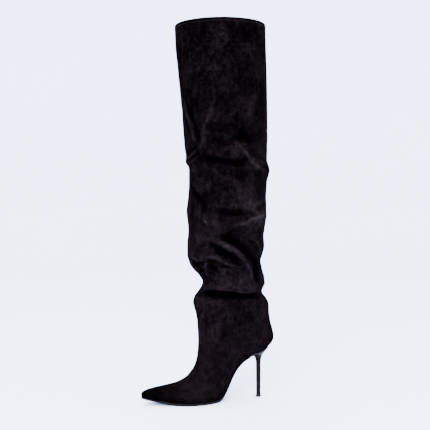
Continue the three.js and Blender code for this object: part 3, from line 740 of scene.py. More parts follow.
def spun_outline(outline: Sequence[Point], centre: Vector, steps: int) -> bmesh.types.BMesh:
    """An outline spun round an upright axis.

    Args:
        outline: points, each a distance from the axis and a height.
        centre: where the axis stands.
        steps: how many pieces the turn is cut into.

    Returns:
        The mesh, with its seam and poles closed.
    """
    bm = bmesh.new()
    verts = [bm.verts.new((centre.x + x, centre.y, z)) for x, z in outline]
    for a, b in zip(verts, verts[1:]):
        bm.edges.new((a, b))
    bmesh.ops.spin(
        bm, geom=bm.verts[:] + bm.edges[:], cent=centre, axis=(0, 0, 1),
        angle=2 * math.pi, steps=steps, use_merge=True, use_duplicate=False,
    )
    bmesh.ops.remove_doubles(bm, verts=bm.verts, dist=MERGE_DISTANCE)
    return bm


def finished_object(name: str, bm: bmesh.types.BMesh, *materials: bpy.types.Material) -> bpy.types.Object:
    """Makes an object of a mesh and frees it.

    Args:
        name: the piece's name.
        bm: its mesh, in the frame.
        materials: its materials, in the order of its faces' slots.

    Returns:
        The object, smooth shaded, at the origin.
    """
    mesh = bpy.data.meshes.new(name)
    bm.to_mesh(mesh)
    bm.free()
    for polygon in mesh.polygons:
        polygon.use_smooth = True
    for material in materials:
        mesh.materials.append(material)
    return linked(name, mesh)


def linked(name: str, data: bpy.types.ID) -> bpy.types.Object:
    """A new object of the data, in the scene."""
    thing = bpy.data.objects.new(name, data)
    bpy.context.scene.collection.objects.link(thing)
    return thing


@dataclass(frozen=True)
class Grain:
    """A noise pattern: patches per metre, finer layers and their strength, stretch along each axis, twist."""

    scale: float
    layers: float
    strength: float
    stretch: tuple[float, float, float] = (1, 1, 1)
    twist: float = 0.0


class Shader:
    """Adds nodes to one material."""

    def __init__(self, name: str) -> None:
        """Starts a material of one Principled shader."""
        self.material = bpy.data.materials.new(name)
        self.material.use_nodes = True
        self.tree = self.material.node_tree
        self.surface = self.tree.nodes["Principled BSDF"]
        self.places = self.tree.nodes.new("ShaderNodeTexCoord").outputs["Object"]
        self.patterns: dict[Grain, Socket] = {}

    def feed(self, node: bpy.types.Node, **inputs: object) -> bpy.types.Node:
        """Sets or links inputs of a node.

        Args:
            node: the node.
            inputs: a constant or another node's output for each input, with _ for a space in its name.

        Returns:
            The same node.
        """
        for name, value in inputs.items():
            socket = node.inputs[name.replace("_", " ")]
            if isinstance(value, Socket):
                self.tree.links.new(value, socket)
            else:
                socket.default_value = value
        return node

    def surface_values(self, **inputs: object) -> None:
        """Sets or links inputs of the shader itself."""
        self.feed(self.surface, **inputs)

    def add(self, kind: str, **inputs: object) -> bpy.types.Node:
        """A new node of a kind, with its inputs set."""
        return self.feed(self.tree.nodes.new("ShaderNode" + kind), **inputs)

    def noise(self, grain: Grain) -> Socket:
        """The value of a noise pattern, made once for each grain."""
        if grain not in self.patterns:
            at = self.add("Mapping", Scale=grain.stretch, Vector=self.places).outputs["Vector"]
            self.patterns[grain] = self.add(
                "TexNoise", Vector=at, Scale=grain.scale, Detail=grain.layers, Roughness=grain.strength,
                Distortion=grain.twist,
            ).outputs["Fac"]
        return self.patterns[grain]

    def attribute(self, name: str) -> Socket:
        """The value of the piece's own attribute."""
        node = self.add("Attribute")
        node.attribute_name = name
        return node.outputs["Fac"]

    def math(self, how: str, a: Socket, b: Socket | float) -> Socket:
        """A sum, product or the like of two values."""
        node = self.add("Math")
        node.operation = how
        self.tree.links.new(a, node.inputs[0])
        if isinstance(b, Socket):
            self.tree.links.new(b, node.inputs[1])
        else:
            node.inputs[1].default_value = b
        return node.outputs[0]

    def mixed(self, parts: Sequence[tuple[Grain, float]]) -> Socket:
        """The sum of noise patterns, each times its share."""
        total, *others = [self.math("MULTIPLY", self.noise(grain), share) for grain, share in parts]
        for value in others:
            total = self.math("ADD", total, value)
        return total

    def ramp(self, value: Socket, stops: Sequence[tuple[float, Colour]]) -> Socket:
        """A colour for each value, between stops that each have a place from 0 to 1."""
        node = self.add("ValToRGB", Fac=value)
        steps = node.color_ramp.elements
        while len(steps) < len(stops):
            steps.new(0.5)
        for step, (place, colour) in zip(steps, stops):
            step.position = place
            step.color = (*colour, 1)
        return node.outputs["Color"]

    def range(self, value: Socket, low: float, high: float, to_low: float, to_high: float) -> Socket:
        """A value moved from one range to another."""
        moved = {"From Min": low, "From Max": high, "To Min": to_low, "To Max": to_high}
        return self.add("MapRange", Value=value, **moved).outputs["Result"]

    def bump(self, height: Socket, strength: float, distance: float) -> None:
        """Adds a relief over what the surface has.

        Args:
            height: the pattern.
            strength: from 0 to 1.
            distance: its height in metres.
        """
        node = self.add("Bump", Strength=strength, Distance=distance, Height=height)
        before = self.surface.inputs["Normal"]
        if before.is_linked:
            self.feed(node, Normal=before.links[0].from_socket)
        self.surface_values(Normal=node.outputs["Normal"])


@dataclass(frozen=True)
class Suede:
    """Black suede: a matt nap in cloudy patches, darker under painted shade and lighter under painted
    highlight.
    """

    name: str = "black_suede"
    clouds: Grain = Grain(26, 3, 0.55, (1, 1, 0.8), 0.5)
    patches: Grain = Grain(150, 4, 0.7, (1, 1, 0.75), 0.3)
    fibres: Grain = Grain(480, 4, 0.65, (1, 1, 0.6))
    shares: tuple[float, ...] = (0.28, 0.42, 0.30)
    colours: tuple[tuple[float, Colour], ...] = (
        (0.395, (0.0001, 0.00005, 0.0001)),
        (0.474, (0.0010, 0.0006, 0.0008)),
        (0.554, (0.0032, 0.0022, 0.0026)),
        (0.674, (0.0090, 0.0068, 0.0080)),
    )
    roughness: tuple[float, ...] = (0.3, 0.7, 0.86, 1.0)
    sheen: float = 0.004
    sheen_roughness: float = 0.35
    sheen_colour: Colour = (0.80, 0.74, 0.80)
    fibre_relief: Point = (0.35, 0.0004)
    patch_relief: Point = (0.25, 0.0009)

    def material(self) -> bpy.types.Material:
        """The finished material."""
        shader = Shader(self.name)
        mix = shader.mixed(tuple(zip((self.clouds, self.patches, self.fibres), self.shares)))
        play = shader.math("MULTIPLY", shader.math("SUBTRACT", mix, 0.5), shader.attribute("mottle"))
        # Adds the upper's painted shade (below 0) and painted highlight (above 0) to the tone.
        tone = shader.math("ADD", shader.math("ADD", play, 0.5), shader.attribute("rub"))
        shader.surface_values(
            Base_Color=shader.ramp(tone, self.colours),
            Roughness=shader.range(shader.noise(self.patches), *self.roughness),
            Sheen_Weight=self.sheen, Sheen_Roughness=self.sheen_roughness, Sheen_Tint=(*self.sheen_colour, 1),
            Specular_IOR_Level=0.0,
        )
        shader.bump(shader.noise(self.fibres), *self.fibre_relief)
        shader.bump(shader.noise(self.patches), *self.patch_relief)
        return shader.material


@dataclass(frozen=True)
class Finish:
    """A plainer finish: one noise pattern leads its colours and roughness, one its relief.

    The colours may have a second pattern mixed in, with the shares of both, and may be moved along by
    the piece's painted reflection. The piece's "shine" may lead the weight of a clear coat.
    """

    name: str
    wear: Grain
    colours: tuple[tuple[float, Colour], ...]
    relief: Grain
    relief_strength: float
    relief_height: float
    values: dict[str, float]
    roughness: tuple[float, ...] = ()
    clouds: Grain | None = None
    shares: tuple[float, ...] = ()
    polish: float = 0.0
    coat: tuple[float, ...] = ()

    def material(self) -> bpy.types.Material:
        """The finished material."""
        shader = Shader(self.name)
        wear = shader.noise(self.wear)
        tone = wear
        if self.clouds:
            tone = shader.mixed(tuple(zip((self.wear, self.clouds), self.shares)))
        if self.polish:
            tone = shader.math("ADD", wear, shader.math("MULTIPLY", shader.attribute("polish"), self.polish))
        shader.surface_values(Base_Color=shader.ramp(tone, self.colours), **self.values)
        if self.roughness:
            shader.surface_values(Roughness=shader.range(wear, *self.roughness))
        if self.coat:
            shader.surface_values(Coat_Weight=shader.range(shader.attribute("shine"), 0, 1, *self.coat))
        shader.bump(shader.noise(self.relief), self.relief_strength, self.relief_height)
        return shader.material


LINING = Finish(
    "charcoal_lining", Grain(1200, 2, 0.5, (1, 1, 3.2)),
    ((0.3, (0.0022, 0.0019, 0.0022)), (0.7, (0.0070, 0.0062, 0.0070))),
    Grain(1200, 2, 0.5, (1, 1, 3.2)), 0.3, 0.0003, {"Sheen_Weight": 0.02, "Specular_IOR_Level": 0.05},
    roughness=(0.3, 0.7, 0.82, 0.95), clouds=Grain(30, 3, 0.5), shares=(0.6, 0.4),
)
INSOLE_LEATHER = Finish(
    "black_insole_leather", Grain(22, 3, 0.5),
    ((0.35, (0.0040, 0.0034, 0.0034)), (0.7, (0.0095, 0.0080, 0.0076))),
    Grain(1500, 4, 0.6), 0.3, 0.0002, {"Specular_IOR_Level": 0.15}, roughness=(0.3, 0.7, 0.62, 0.45),
)
# The last colour stop is reached only under the painted reflection along the sole's top edge.
SOLE_FINISH = Finish(
    "satin_black_sole", Grain(70, 6, 0.7, (1, 0.35, 1), 0.4),
    ((0.5, (0.0016, 0.0013, 0.0016)), (0.75, (0.0060, 0.0052, 0.0056)), (1.0, (0.0240, 0.0210, 0.0250))),
    Grain(1800, 3, 0.5), 0.25, 0.0002,
    {"Specular_IOR_Level": 0.0, "Coat_Weight": 0.006, "Coat_Roughness": 0.45},
    roughness=(0.35, 0.7, 0.5, 0.7), polish=0.6,
)
LACQUER = Finish(
    "black_heel_lacquer", Grain(160, 5, 0.65, (1, 1, 0.3)),
    ((0.5, (0.0027, 0.0016, 0.0020)), (0.75, (0.0068, 0.0048, 0.0056))),
    Grain(60, 2, 0.4), 0.12, 0.0004, {"Specular_IOR_Level": 0.0, "Coat_Roughness": 0.2},
    roughness=(0.35, 0.7, 0.26, 0.40), coat=(0.024, 0.15),
)
RUBBER = Finish(
    "dull_black_rubber", Grain(420, 5, 0.7),
    ((0.5, (0.0010, 0.0009, 0.0010)), (0.78, (0.0040, 0.0037, 0.0038))),
    Grain(420, 5, 0.7), 0.3, 0.0002, {"Specular_IOR_Level": 0.12}, roughness=(0.3, 0.7, 0.62, 0.85),
)
THREAD = Finish(
    "black_thread", Grain(2600, 2, 0.5),
    ((0.4, (0.0014, 0.0011, 0.0015)), (0.7, (0.0046, 0.0038, 0.0048))),
    Grain(2600, 2, 0.5), 0.3, 0.0001, {"Roughness": 0.6, "Specular_IOR_Level": 0.06},
)


@dataclass
class Upper:
    """The suede upper: foot and shaft in one shell, with its back seam and topline stitches.

    Fields whose names end in heights are in millimetres over the floor. So are the middle and spread in
    slouch_at and knee_at. Seam, wrinkle, collar and band sizes are in millimetres too.
    """

    last: Last
    columns: int = 136
    rows: int = 276
    fine_rows: int = 2400
    probe_turns: tuple[float, ...] = (0, 30, 60, 90, 135, 180, -135, -90, -60, -30)
    seam_turns: tuple[float, ...] = (0.0, 0.55, 1.1, 1.7, 2.5, 3.8)
    seam_depth: float = 0.7
    seam_width: float = 0.9
    seam_bead: float = 0.35
    seam_bead_at: float = 2.2
    seam_bead_width: float = 1.1
    crease_heights: Point = (60, 100)
    collar_calm: float = 26
    collar_relief: float = 0.15
    seam_heights: Point = (97, 101)
    wrinkle: float = 0.55
    wrinkle_turns: float = 3.4
    wrinkle_length: float = 13
    fine_share: float = 0.45
    fine_turns: float = 2.3
    fine_length: float = 6
    fine_start: float = 40
    calm_share: float = 0.35
    knee_share: float = 0.8
    foot_share: float = 0.12
    slouch_at: Point = (235, 60)
    knee_at: Point = (415, 45)
    wrinkle_heights: Point = (90, 180)
    trough_shade: float = 0.030
    ridge_rub: float = 0.016
    relief_tones: Point = (-0.09, 0.05)
    toe_shade: float = 0.100
    toe_shade_length: float = 0.085
    toe_shade_power: float = 1.4
    edge_shade: float = 0.030
    edge_band: float = 5
    top_shade: float = 0.036
    top_heights: Point = (345, 545)
    mottle: Point = (0.62, 0.2)
    mottle_heights: Point = (60, 180)
    stitch_rows_down: int = 2
    stitch_pitch: float = 0.0031
    stitch_length: float = 0.0023
    stitch_width: float = 0.0007
    stitch_lift: float = 0.0001
    spots: np.ndarray = field(init=False)
    places: np.ndarray = field(init=False)
    tone: np.ndarray = field(init=False)
    height: np.ndarray = field(init=False)

    def turns(self) -> np.ndarray:
        """Turns of the columns in degrees, from the back seam round the toe, closer at the seam."""
        close = np.array(self.seam_turns)
        even = np.linspace(-180 + close[-1], 180 - close[-1], self.columns - 2 * (len(close) - 1) + 1)
        return np.concatenate([-180 + close[:-1], even, (180 - close[:-1])[::-1]])

    def row_places(self) -> np.ndarray:
        """Rows spread so that the steps between them are even where they are widest."""
        at = np.linspace(0, len(FOOT_ROWS) + len(SHAFT_ROWS) - 1, self.fine_rows)
        spots = self.last.surface(*np.meshgrid(at, np.radians(self.probe_turns), indexing="ij"))
        step = np.linalg.norm(np.diff(spots, axis=0), axis=-1).max(1)
        run = np.concatenate([[0], np.cumsum(step)])
        return np.interp(np.linspace(0, run[-1], self.rows + 1), run, at)

    def shape(self) -> None:
        """Works out the outer face with its creases."""
        turn = self.turns()
        at, angle = np.meshgrid(self.row_places(), np.radians(turn), indexing="ij")
        self.spots = self.last.to_frame(self.last.surface(at, angle))
        self.spots[:, -1] = self.spots[:, 0]
        turned = np.broadcast_to(turn, at.shape)
        self.height = self.spots[..., 2] / MM
        relief = crease_relief(turned, self.height) + self.small_wrinkles(turned)
        calm = np.clip((self.height.max() - self.height) / self.collar_calm, self.collar_relief, 1)
        relief *= part_way(self.height, *self.crease_heights) * calm
        self.tone = self.nap_tone(turned, relief)
        seam = np.minimum(np.abs(turned + 180), np.abs(turned - 180)) * MM_PER_DEGREE / self.seam_width
        groove = self.seam_bead * bell((seam - self.seam_bead_at) / self.seam_bead_width)
        groove -= self.seam_depth * bell(seam)
        moved = relief + groove * part_way(self.height, *self.seam_heights)
        moved[:, -1] = moved[:, 0]
        self.places = self.spots + self.outwards(self.spots) * moved[..., None] * MM

    def outwards(self, spots: np.ndarray) -> np.ndarray:
        """Unit normals of the outer face."""
        round_boot = np.empty_like(spots)
        round_boot[:, 1:-1] = spots[:, 2:] - spots[:, :-2]
        round_boot[:, 0] = round_boot[:, -1] = spots[:, 1] - spots[:, -2]
        out = np.cross(round_boot, np.gradient(spots, axis=0))
        return out / np.linalg.norm(out, axis=-1, keepdims=True)

    def small_wrinkles(self, turned: np.ndarray) -> np.ndarray:
        """Fine unevenness of soft suede: more of it where the shaft slouches.

        Args:
            turned: turns round the boot in degrees.

        Returns:
            The moves in millimetres.
        """
        slouch = np.full(turned.shape, self.calm_share)
        for share, (middle, spread) in ((1.0, self.slouch_at), (self.knee_share, self.knee_at)):
            slouch += share * bell((self.height - middle) / spread)
        slouch *= np.maximum(part_way(self.height, *self.wrinkle_heights), self.foot_share)
        out = np.zeros(turned.shape)
        for index, (turn, up) in enumerate(zip(turned.ravel(), self.height.ravel())):
            angle = math.radians(turn)
            spot = Vector((math.cos(angle), math.sin(angle), 0)) * self.wrinkle_turns
            spot.z = up / self.wrinkle_length
            fine = Vector(spot) * self.fine_turns
            fine.z = up / self.fine_length + self.fine_start
            out.flat[index] = noise.noise(spot) + self.fine_share * noise.noise(fine)
        return out * slouch * self.wrinkle

    def nap_tone(self, turned: np.ndarray, relief: np.ndarray) -> np.ndarray:
        """Painted shade in troughs, at the toe, along the sole and up the shaft; painted highlight on ridges.

        Args:
            turned: turns round the boot in degrees.
            relief: how far the creases move the surface, in millimetres.

        Returns:
            The tones, lighter where positive.
        """
        # Painted shade in the troughs and painted highlight on the ridges, by how far the creases move the
        # surface.
        tone = np.clip(relief * np.where(relief < 0, self.trough_shade, self.ridge_rub), *self.relief_tones)
        tone += stroke_shade(turned, self.height)
        ahead = self.last.stem.y - self.spots[..., 1]
        toe_tip = self.last.sizes.toe_tip
        toe = part_way(ahead, toe_tip - self.toe_shade_length, toe_tip)
        tone -= self.toe_shade * toe ** self.toe_shade_power
        over_sole = self.height - self.last.seam(ahead) / MM
        tone -= self.edge_shade * bell(over_sole / self.edge_band)
        return tone - self.top_shade * part_way(self.height, *self.top_heights)

    def shell(self) -> bpy.types.Object:
        """The shell, with the lining on its inner face."""
        self.shape()
        mottle = self.mottle[0] + self.mottle[1] * part_way(self.height, *self.mottle_heights)
        # The first attribute carries the suede's painted shade and painted highlight.
        bm = laid_grid(self.places, {"rub": self.tone, "mottle": mottle})
        bm.normal_update()
        side = max(bm.faces, key=lambda f: f.calc_center_median().x)
        if side.normal.x < 0:
            bmesh.ops.reverse_faces(bm, faces=bm.faces)
        shell = finished_object("suede_upper", bm, Suede().material(), LINING.material())
        wall = shell.modifiers.new("wall", "SOLIDIFY")
        wall.thickness = self.last.sizes.upper_wall
        wall.offset = -1
        wall.use_even_offset = False
        wall.material_offset = 1
        wall.material_offset_rim = 0
        return shell

    def topline_stitches(self) -> bpy.types.Object:
        """A row of short stitches just under the collar's edge."""
        row = -1 - self.stitch_rows_down
        line = self.places[row]
        normals = self.outwards(self.places)[row]
        run = run_along(line)
        count = int(run[-1] / self.stitch_pitch)
        size = Matrix.Diagonal((self.stitch_length / 2, self.stitch_width / 2, self.stitch_width / 2, 1))

        def read(values: np.ndarray, at: float) -> Vector:
            """Values along the line at a distance from its start."""
            return Vector([np.interp(at, run, values[:, i]) for i in range(3)])

        bm = bmesh.new()
        for k in range(count):
            at = (k + 0.5) * run[-1] / count
            spot = read(line, at)
            up = read(normals, at).normalized()
            along = (read(line, at + MM / 2) - spot).normalized()
            across = up.cross(along).normalized()
            turn = Matrix((along, across, up)).transposed().to_4x4()
            bmesh.ops.create_uvsphere(
                bm, u_segments=8, v_segments=5, radius=1,
                matrix=Matrix.Translation(spot + up * self.stitch_lift) @ turn @ size,
            )
        return finished_object("topline_stitches", bm, THREAD.material())

    def build(self) -> None:
        """Builds the upper and puts it in the frame."""
        shell = self.shell()
        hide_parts("upper")
        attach(shell, "root")
        log.info("upper: %d faces in the outer face", len(shell.data.polygons))
        stitches = self.topline_stitches()
        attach(stitches, "root")
        log.info("topline stitches: %d faces", len(stitches.data.polygons))


@dataclass
class Plate:
    """A thin plate along the last, such as the outsole, in rings from its middle line to its rim."""

    last: Last
    grow: float
    top: float
    bottom: float
    round_top: float
    round_bottom: float
    columns: int = 168
    fine_per_column: int = 8
    face_shares: tuple[float, ...] = (1.0, 0.7, 0.4, 0.15)
    # Rings and heights of the painted reflection along the sole's top edge.
    polished_rings: tuple[int, ...] = (4, 5, 6)
    polish_top: float = 0.010
    polish_fade: float = 0.004

    def outline(self) -> tuple[np.ndarray, np.ndarray]:
        """The plate's rim in plan.

        Returns:
            Rows of across and ahead, and the directions outwards.
        """
        turn = np.linspace(-np.pi, np.pi, self.columns * self.fine_per_column + 1)
        run = run_along(self.last.foot_ring(np.zeros(turn.shape), turn)[:, :2])
        even = np.interp(np.linspace(0, run[-1], self.columns + 1), run, turn)
        half = self.columns // 2
        even[half + 1:] = -even[:half][::-1]
        even[half] = 0
        rim = self.last.foot_ring(np.zeros(even.shape), even)[:, :2]
        ahead = np.roll(rim[:-1], -1, axis=0) - np.roll(rim[:-1], 1, axis=0)
        out = np.stack([ahead[:, 1], -ahead[:, 0]], -1)
        out /= np.linalg.norm(out, axis=1, keepdims=True)
        out = np.vstack([out, out[:1]])
        return rim, out if out[half, 1] >= 0 else -out

    def mesh(self) -> bmesh.types.BMesh:
        """The closed plate."""
        rim, out = self.outline()
        sizes = self.last.sizes
        middle = self.last.plan((sizes.toe_tip - rim[:, 1]) / sizes.seat_length)[1]
        spine = np.stack([middle, rim[:, 1]], -1)
        rings = []

        def ring(inwards: float, share: float, level: float) -> None:
            """Adds a ring: inwards from the rim, share of the way to the middle, level over the underside."""
            edge = rim + out * (self.grow - inwards)
            plan = edge + (spine - edge) * share
            rings.append(np.column_stack([plan, self.last.above(plan[:, 1], level)]))

        for share in self.face_shares:
            ring(self.round_top, share, self.top)
        for sine, cosine in quarter_turn():
            ring(self.round_top * (1 - sine), 0, self.top - self.round_top * (1 - cosine))
        for sine, cosine in quarter_turn():
            ring(self.round_bottom * (1 - cosine), 0, self.bottom + self.round_bottom * (1 - sine))
        for share in reversed(self.face_shares):
            ring(self.round_bottom, share, self.bottom)
        places = self.last.to_frame(np.array(rings))
        # Painted reflection: the top edge is lighter where it comes near the floor.
        polish = np.clip((self.polish_top - places[..., 2]) / self.polish_fade, 0, 1)
        polish *= np.isin(np.arange(len(rings)), self.polished_rings)[:, None]
        bm = laid_grid(places, {"polish": polish})
        bmesh.ops.recalc_face_normals(bm, faces=bm.faces)
        return bm


@dataclass
class Sole:
    """Outsole and insole."""

    last: Last
    sole_lip: float = 0.0008
    sole_rounds: Point = (0.0004, 0.0009)
    breast: float = 0.0213
    insole_gap: float = 0.0003
    insole_thickness: float = 0.0025
    insole_rounds: Point = (0.0008, 0.0003)
    cad_wall: float = 0.002

    def outsole(self) -> bpy.types.Object:
        """The outsole, cut off at the heel's breast."""
        bm = Plate(self.last, self.sole_lip, self.last.sizes.sole_thickness, 0.0, *self.sole_rounds).mesh()
        bmesh.ops.bisect_plane(
            bm, geom=bm.verts[:] + bm.edges[:] + bm.faces[:], dist=MERGE_DISTANCE,
            plane_co=(0, self.last.stem.y - self.breast, 0), plane_no=(0, 1, 0), clear_outer=True,
        )
        bmesh.ops.holes_fill(bm, edges=[edge for edge in bm.edges if edge.is_boundary], sides=0)
        bmesh.ops.recalc_face_normals(bm, faces=bm.faces)
        return finished_object("dressed_outsole", bm, SOLE_FINISH.material())

    def insole(self) -> bpy.types.Object:
        """The insole inside the foot."""
        low = self.last.sizes.sole_thickness + self.last.sizes.seat_gap
        inwards = -(self.cad_wall + self.insole_gap)
        plate = Plate(self.last, inwards, low + self.insole_thickness, low, *self.insole_rounds)
        return finished_object("dressed_insole", plate.mesh(), INSOLE_LEATHER.material())

    def build(self) -> None:
        """Builds both plates and puts them in the frame."""
        for piece, node, slot in (
            (self.outsole(), "outsole", "outsole"),
            (self.insole(), "insole", "insole_leather"),
        ):
            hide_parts(node)
            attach(piece, "root")
            log.info("%s: %d faces", node, len(piece.data.polygons))


@dataclass
class Heel:
    """The stiletto heel with its seat, and the rubber top piece that it stands on."""

    last: Last
    breast: float = 0.021
    stem_top_width: float = 0.0094
    stem_foot_width: float = 0.0078
    stem_depth_share: float = 0.94
    seat_shrinks: tuple[float, ...] = (0.0, 0.35, 0.7, 0.9, 0.985)
    foot_shrinks: tuple[float, ...] = (0.97, 0.85, 0.4, 0.0)
    flare_share: float = 0.27
    flare_rings: int = 30
    stem_shares: Point = (0.31, 0.9)
    stem_rings: int = 12
    foot_edge: float = 0.0006
    top_piece_height: float = 0.0055
    top_piece_width: float = 0.0088
    top_piece_round: float = 0.0006
    top_piece_inner: float = 0.6
    top_piece_steps: int = 56
    flare_heights: Point = (0.066, 0.076)
    columns: int = 72
    fine_steps: int = 1440
    halvings: int = 40

    def seat_reach(self, across: np.ndarray, ahead: np.ndarray) -> np.ndarray:
        """Distance from the stem's axis to the rim of the seat.

        Args:
            across: how far each direction in plan goes across.
            ahead: how far it goes ahead.

        Returns:
            The distances in metres.
        """
        sizes = self.last.sizes
        low = np.zeros(across.shape)
        high = np.full(across.shape, sizes.seat_length)
        for _ in range(self.halvings):
            middle = (low + high) / 2
            forward = ahead * middle
            station = (sizes.toe_tip - forward) / sizes.seat_length
            half, shift = self.last.plan(np.clip(station, 0, 1))
            on_seat = (forward <= self.breast) & (station <= 1) & (np.abs(across * middle - shift) < half)
            low = np.where(on_seat, middle, low)
            high = np.where(on_seat, high, middle)
        return low

    def directions(self) -> tuple[np.ndarray, np.ndarray, np.ndarray]:
        """Directions of the columns in plan, spread by the angle and the length of the rim alike.

        Returns:
            How far each goes across and ahead, and its reach to the rim.
        """
        fine = np.linspace(0, 2 * np.pi, self.fine_steps + 1)
        reach = self.seat_reach(np.sin(fine), np.cos(fine))
        run = run_along(np.stack([np.sin(fine) * reach, np.cos(fine) * reach], -1))
        weight = 0.5 * run / run[-1] + 0.5 * fine / fine[-1]
        angle = np.interp(np.linspace(0, 1, self.columns + 1), weight, fine)
        across, ahead = np.sin(angle), np.cos(angle)
        return across, ahead, self.seat_reach(across, ahead)

    def heel_mesh(self) -> bmesh.types.BMesh:
        """The heel, closed over its seat and under its stem."""
        sizes = self.last.sizes
        across, ahead, reach = self.directions()
        foot = self.top_piece_height + sizes.seat_gap
        drawn_in = curves(HEEL_ROWS, "drop")["drawn"]
        seat = self.last.above(np.zeros(1), sizes.sole_thickness)[0]
        stem_end = (seat - foot - self.foot_edge) / sizes.heel_height
        flare = np.linspace(0, self.flare_share, self.flare_rings)
        stem = np.linspace(*self.stem_shares, self.stem_rings)
        rings = []

        def ring(drawn: float, drop: float, shrink: float = 1.0) -> None:
            """Adds a ring: drawn in towards the stem, dropped below the seat, shrunk about its middle."""
            seat_x, seat_y = across * reach * shrink, ahead * reach * shrink
            up = self.last.above(seat_y * (1 - drawn), sizes.sole_thickness) - drop
            share = np.clip((up - foot) / (sizes.heel_height - foot), 0, None)
            half = (self.stem_foot_width + (self.stem_top_width - self.stem_foot_width) * share) / 2 * shrink
            x = seat_x + (across * half - seat_x) * drawn
            y = seat_y + (ahead * half * self.stem_depth_share - seat_y) * drawn
            rings.append(np.column_stack([x, y, up]))

        for shrink in self.seat_shrinks:
            ring(0, 0, shrink)
        for drop in np.concatenate([flare, stem, [stem_end]]) * sizes.heel_height:
            ring(float(drawn_in(drop / sizes.heel_height)), drop)
        for shrink in self.foot_shrinks:
            ring(1, seat - foot, shrink)
        places = self.last.to_frame(np.array(rings))
        bm = laid_grid(places, {"shine": part_way(places[..., 2], *self.flare_heights)})
        bmesh.ops.recalc_face_normals(bm, faces=bm.faces)
        return bm

    def top_piece_mesh(self) -> bmesh.types.BMesh:
        """The top piece: its outline spun round the stem's axis."""
        radius, height, bend = self.top_piece_width / 2, self.top_piece_height, self.top_piece_round
        corner = radius - bend
        inner = radius * self.top_piece_inner
        outline = [(0.0, 0.0), (inner, 0.0)]
        outline += [(corner + bend * sine, bend - bend * cosine) for sine, cosine in quarter_turn()]
        outline += [(corner + bend * cosine, height - bend + bend * sine) for sine, cosine in quarter_turn()]
        outline += [(inner, height), (0.0, height)]
        bm = spun_outline(outline, self.last.stem, self.top_piece_steps)
        bmesh.ops.recalc_face_normals(bm, faces=bm.faces)
        return bm

    def build(self) -> None:
        """Builds the heel and its top piece and puts them in the frame."""
        for name, bm, finish, node, slot in (
            ("dressed_heel", self.heel_mesh(), LACQUER, "heel", "heel_lacquer"),
            ("dressed_top_piece", self.top_piece_mesh(), RUBBER, "heel_top_piece", "top_piece_rubber"),
        ):
            piece = finished_object(name, bm, finish.material())
            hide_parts(node)
            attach(piece, "root")
            log.info("%s: %d faces", node, len(piece.data.polygons))


@dataclass(frozen=True)
class SoftLight:
    """A square soft light: where it hangs, its edge in metres, its watts and its colour."""

    name: str
    place: tuple[float, float, float]
    size: float
    power: float
    colour: Colour


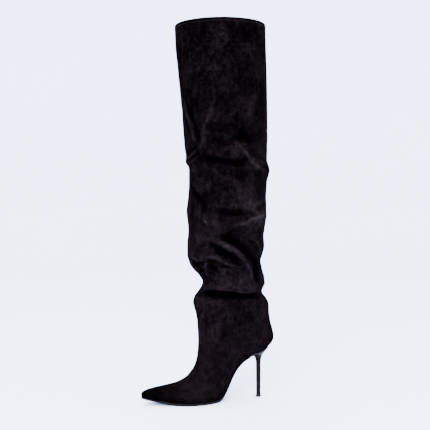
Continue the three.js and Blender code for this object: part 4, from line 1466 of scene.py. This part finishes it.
@dataclass
class Studio:
    """Pale floor that curves up into a backdrop all round, soft lights and the camera."""

    stem: Vector
    turn_deg: float = 72.0
    distance: float = 1.350
    beside: float = 0.0102
    eye_height: float = 0.330
    aim: tuple[float, float, float] = (0, 0.012, 0.316)
    lens: float = 65.0
    sensor_width: float = 36
    clip: Point = (0.05, 30)
    bowl_radius: float = 4.2
    bowl_bend: float = 1.6
    bowl_height: float = 3.4
    bend_steps: int = 12
    turn_steps: int = 96
    grain: Grain = Grain(3, 2, 0.5)
    paper: tuple[tuple[float, Colour], ...] = ((0.3, (0.82, 0.845, 0.99)), (0.7, (0.835, 0.86, 1.0)))
    room_colour: Colour = (0.84, 0.885, 1.0)
    room_strength: float = 6.0
    lit_spot: tuple[float, float, float] = (0, 0, 0.3)
    soft_lights: tuple[SoftLight, ...] = (
        SoftLight("key_light", (2.3, -1.1, 1.7), 1.5, 300, (1.0, 0.985, 0.97)),
        SoftLight("fill_light", (1.8, 1.7, 1.3), 2.0, 40, (0.96, 0.98, 1.0)),
        SoftLight("back_light", (-1.9, 0.2, 2.4), 1.8, 30, (0.97, 0.98, 1.0)),
    )

    def backdrop(self) -> None:
        """The floor and the wall behind it, in one bowl."""
        flat, bend = self.bowl_radius - self.bowl_bend, self.bowl_bend
        outline = [(0.0, 0.0), (1.0, 0.0)]
        for sine, cosine in quarter_turn(self.bend_steps):
            outline.append((flat + bend * sine, bend - bend * cosine))
        outline.append((self.bowl_radius, self.bowl_height))
        shader = Shader("pale_paper")
        colour = shader.ramp(shader.noise(self.grain), self.paper)
        shader.surface_values(Base_Color=colour, Roughness=0.9, Specular_IOR_Level=0.2)
        bm = spun_outline(outline, Vector(), self.turn_steps)
        bowl = finished_object("pale_backdrop", bm, shader.material)

    def lights(self) -> None:
        """Lights and the pale room light."""
        world = bpy.data.worlds.new("pale_room")
        world.use_nodes = True
        shade = world.node_tree.nodes["Background"]
        shade.inputs["Color"].default_value = (*self.room_colour, 1)
        shade.inputs["Strength"].default_value = self.room_strength
        bpy.context.scene.world = world
        for soft in self.soft_lights:
            data = bpy.data.lights.new(soft.name, "AREA")
            data.size = soft.size
            data.energy = soft.power
            data.color = soft.colour
            self.face(linked(soft.name, data), Vector(soft.place), Vector(self.lit_spot))

    def face(self, thing: bpy.types.Object, place: Vector, spot: Vector) -> None:
        """Puts a light or camera at a place, turned towards a spot."""
        thing.location = place
        thing.rotation_euler = (spot - place).to_track_quat("-Z", "Y").to_euler()

    def camera(self) -> None:
        """The camera, where the photograph's stood."""
        turn = math.radians(self.turn_deg)
        right = Vector((math.cos(turn), math.sin(turn), 0))
        forward = Vector((-math.sin(turn), math.cos(turn), 0))
        place = self.stem - forward * self.distance - right * self.beside
        place.z = self.eye_height
        data = bpy.data.cameras.new("photo_camera")
        data.sensor_width = self.sensor_width
        data.lens = self.lens
        data.clip_start, data.clip_end = self.clip
        eye = linked("photo_camera", data)
        self.face(eye, place, Vector(self.aim))
        bpy.context.scene.camera = eye

    def build(self) -> None:
        """Sets up the studio."""
        self.backdrop()
        self.lights()
        self.camera()
        log.info("studio: backdrop, three lights and the camera")


def main() -> None:
    """Builds every piece in order."""
    logging.basicConfig(level=logging.INFO, format="%(name)s: %(message)s")
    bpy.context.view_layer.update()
    low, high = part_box("heel_top_piece")
    stem = Vector(((low[0] + high[0]) / 2, (low[1] + high[1]) / 2, 0))
    last = Last(BootSizes(), stem)
    for group in (Upper(last), Sole(last), Heel(last), Studio(stem)):
        group.build()
    bpy.context.view_layer.update()


if __name__ == "__main__":
    main()
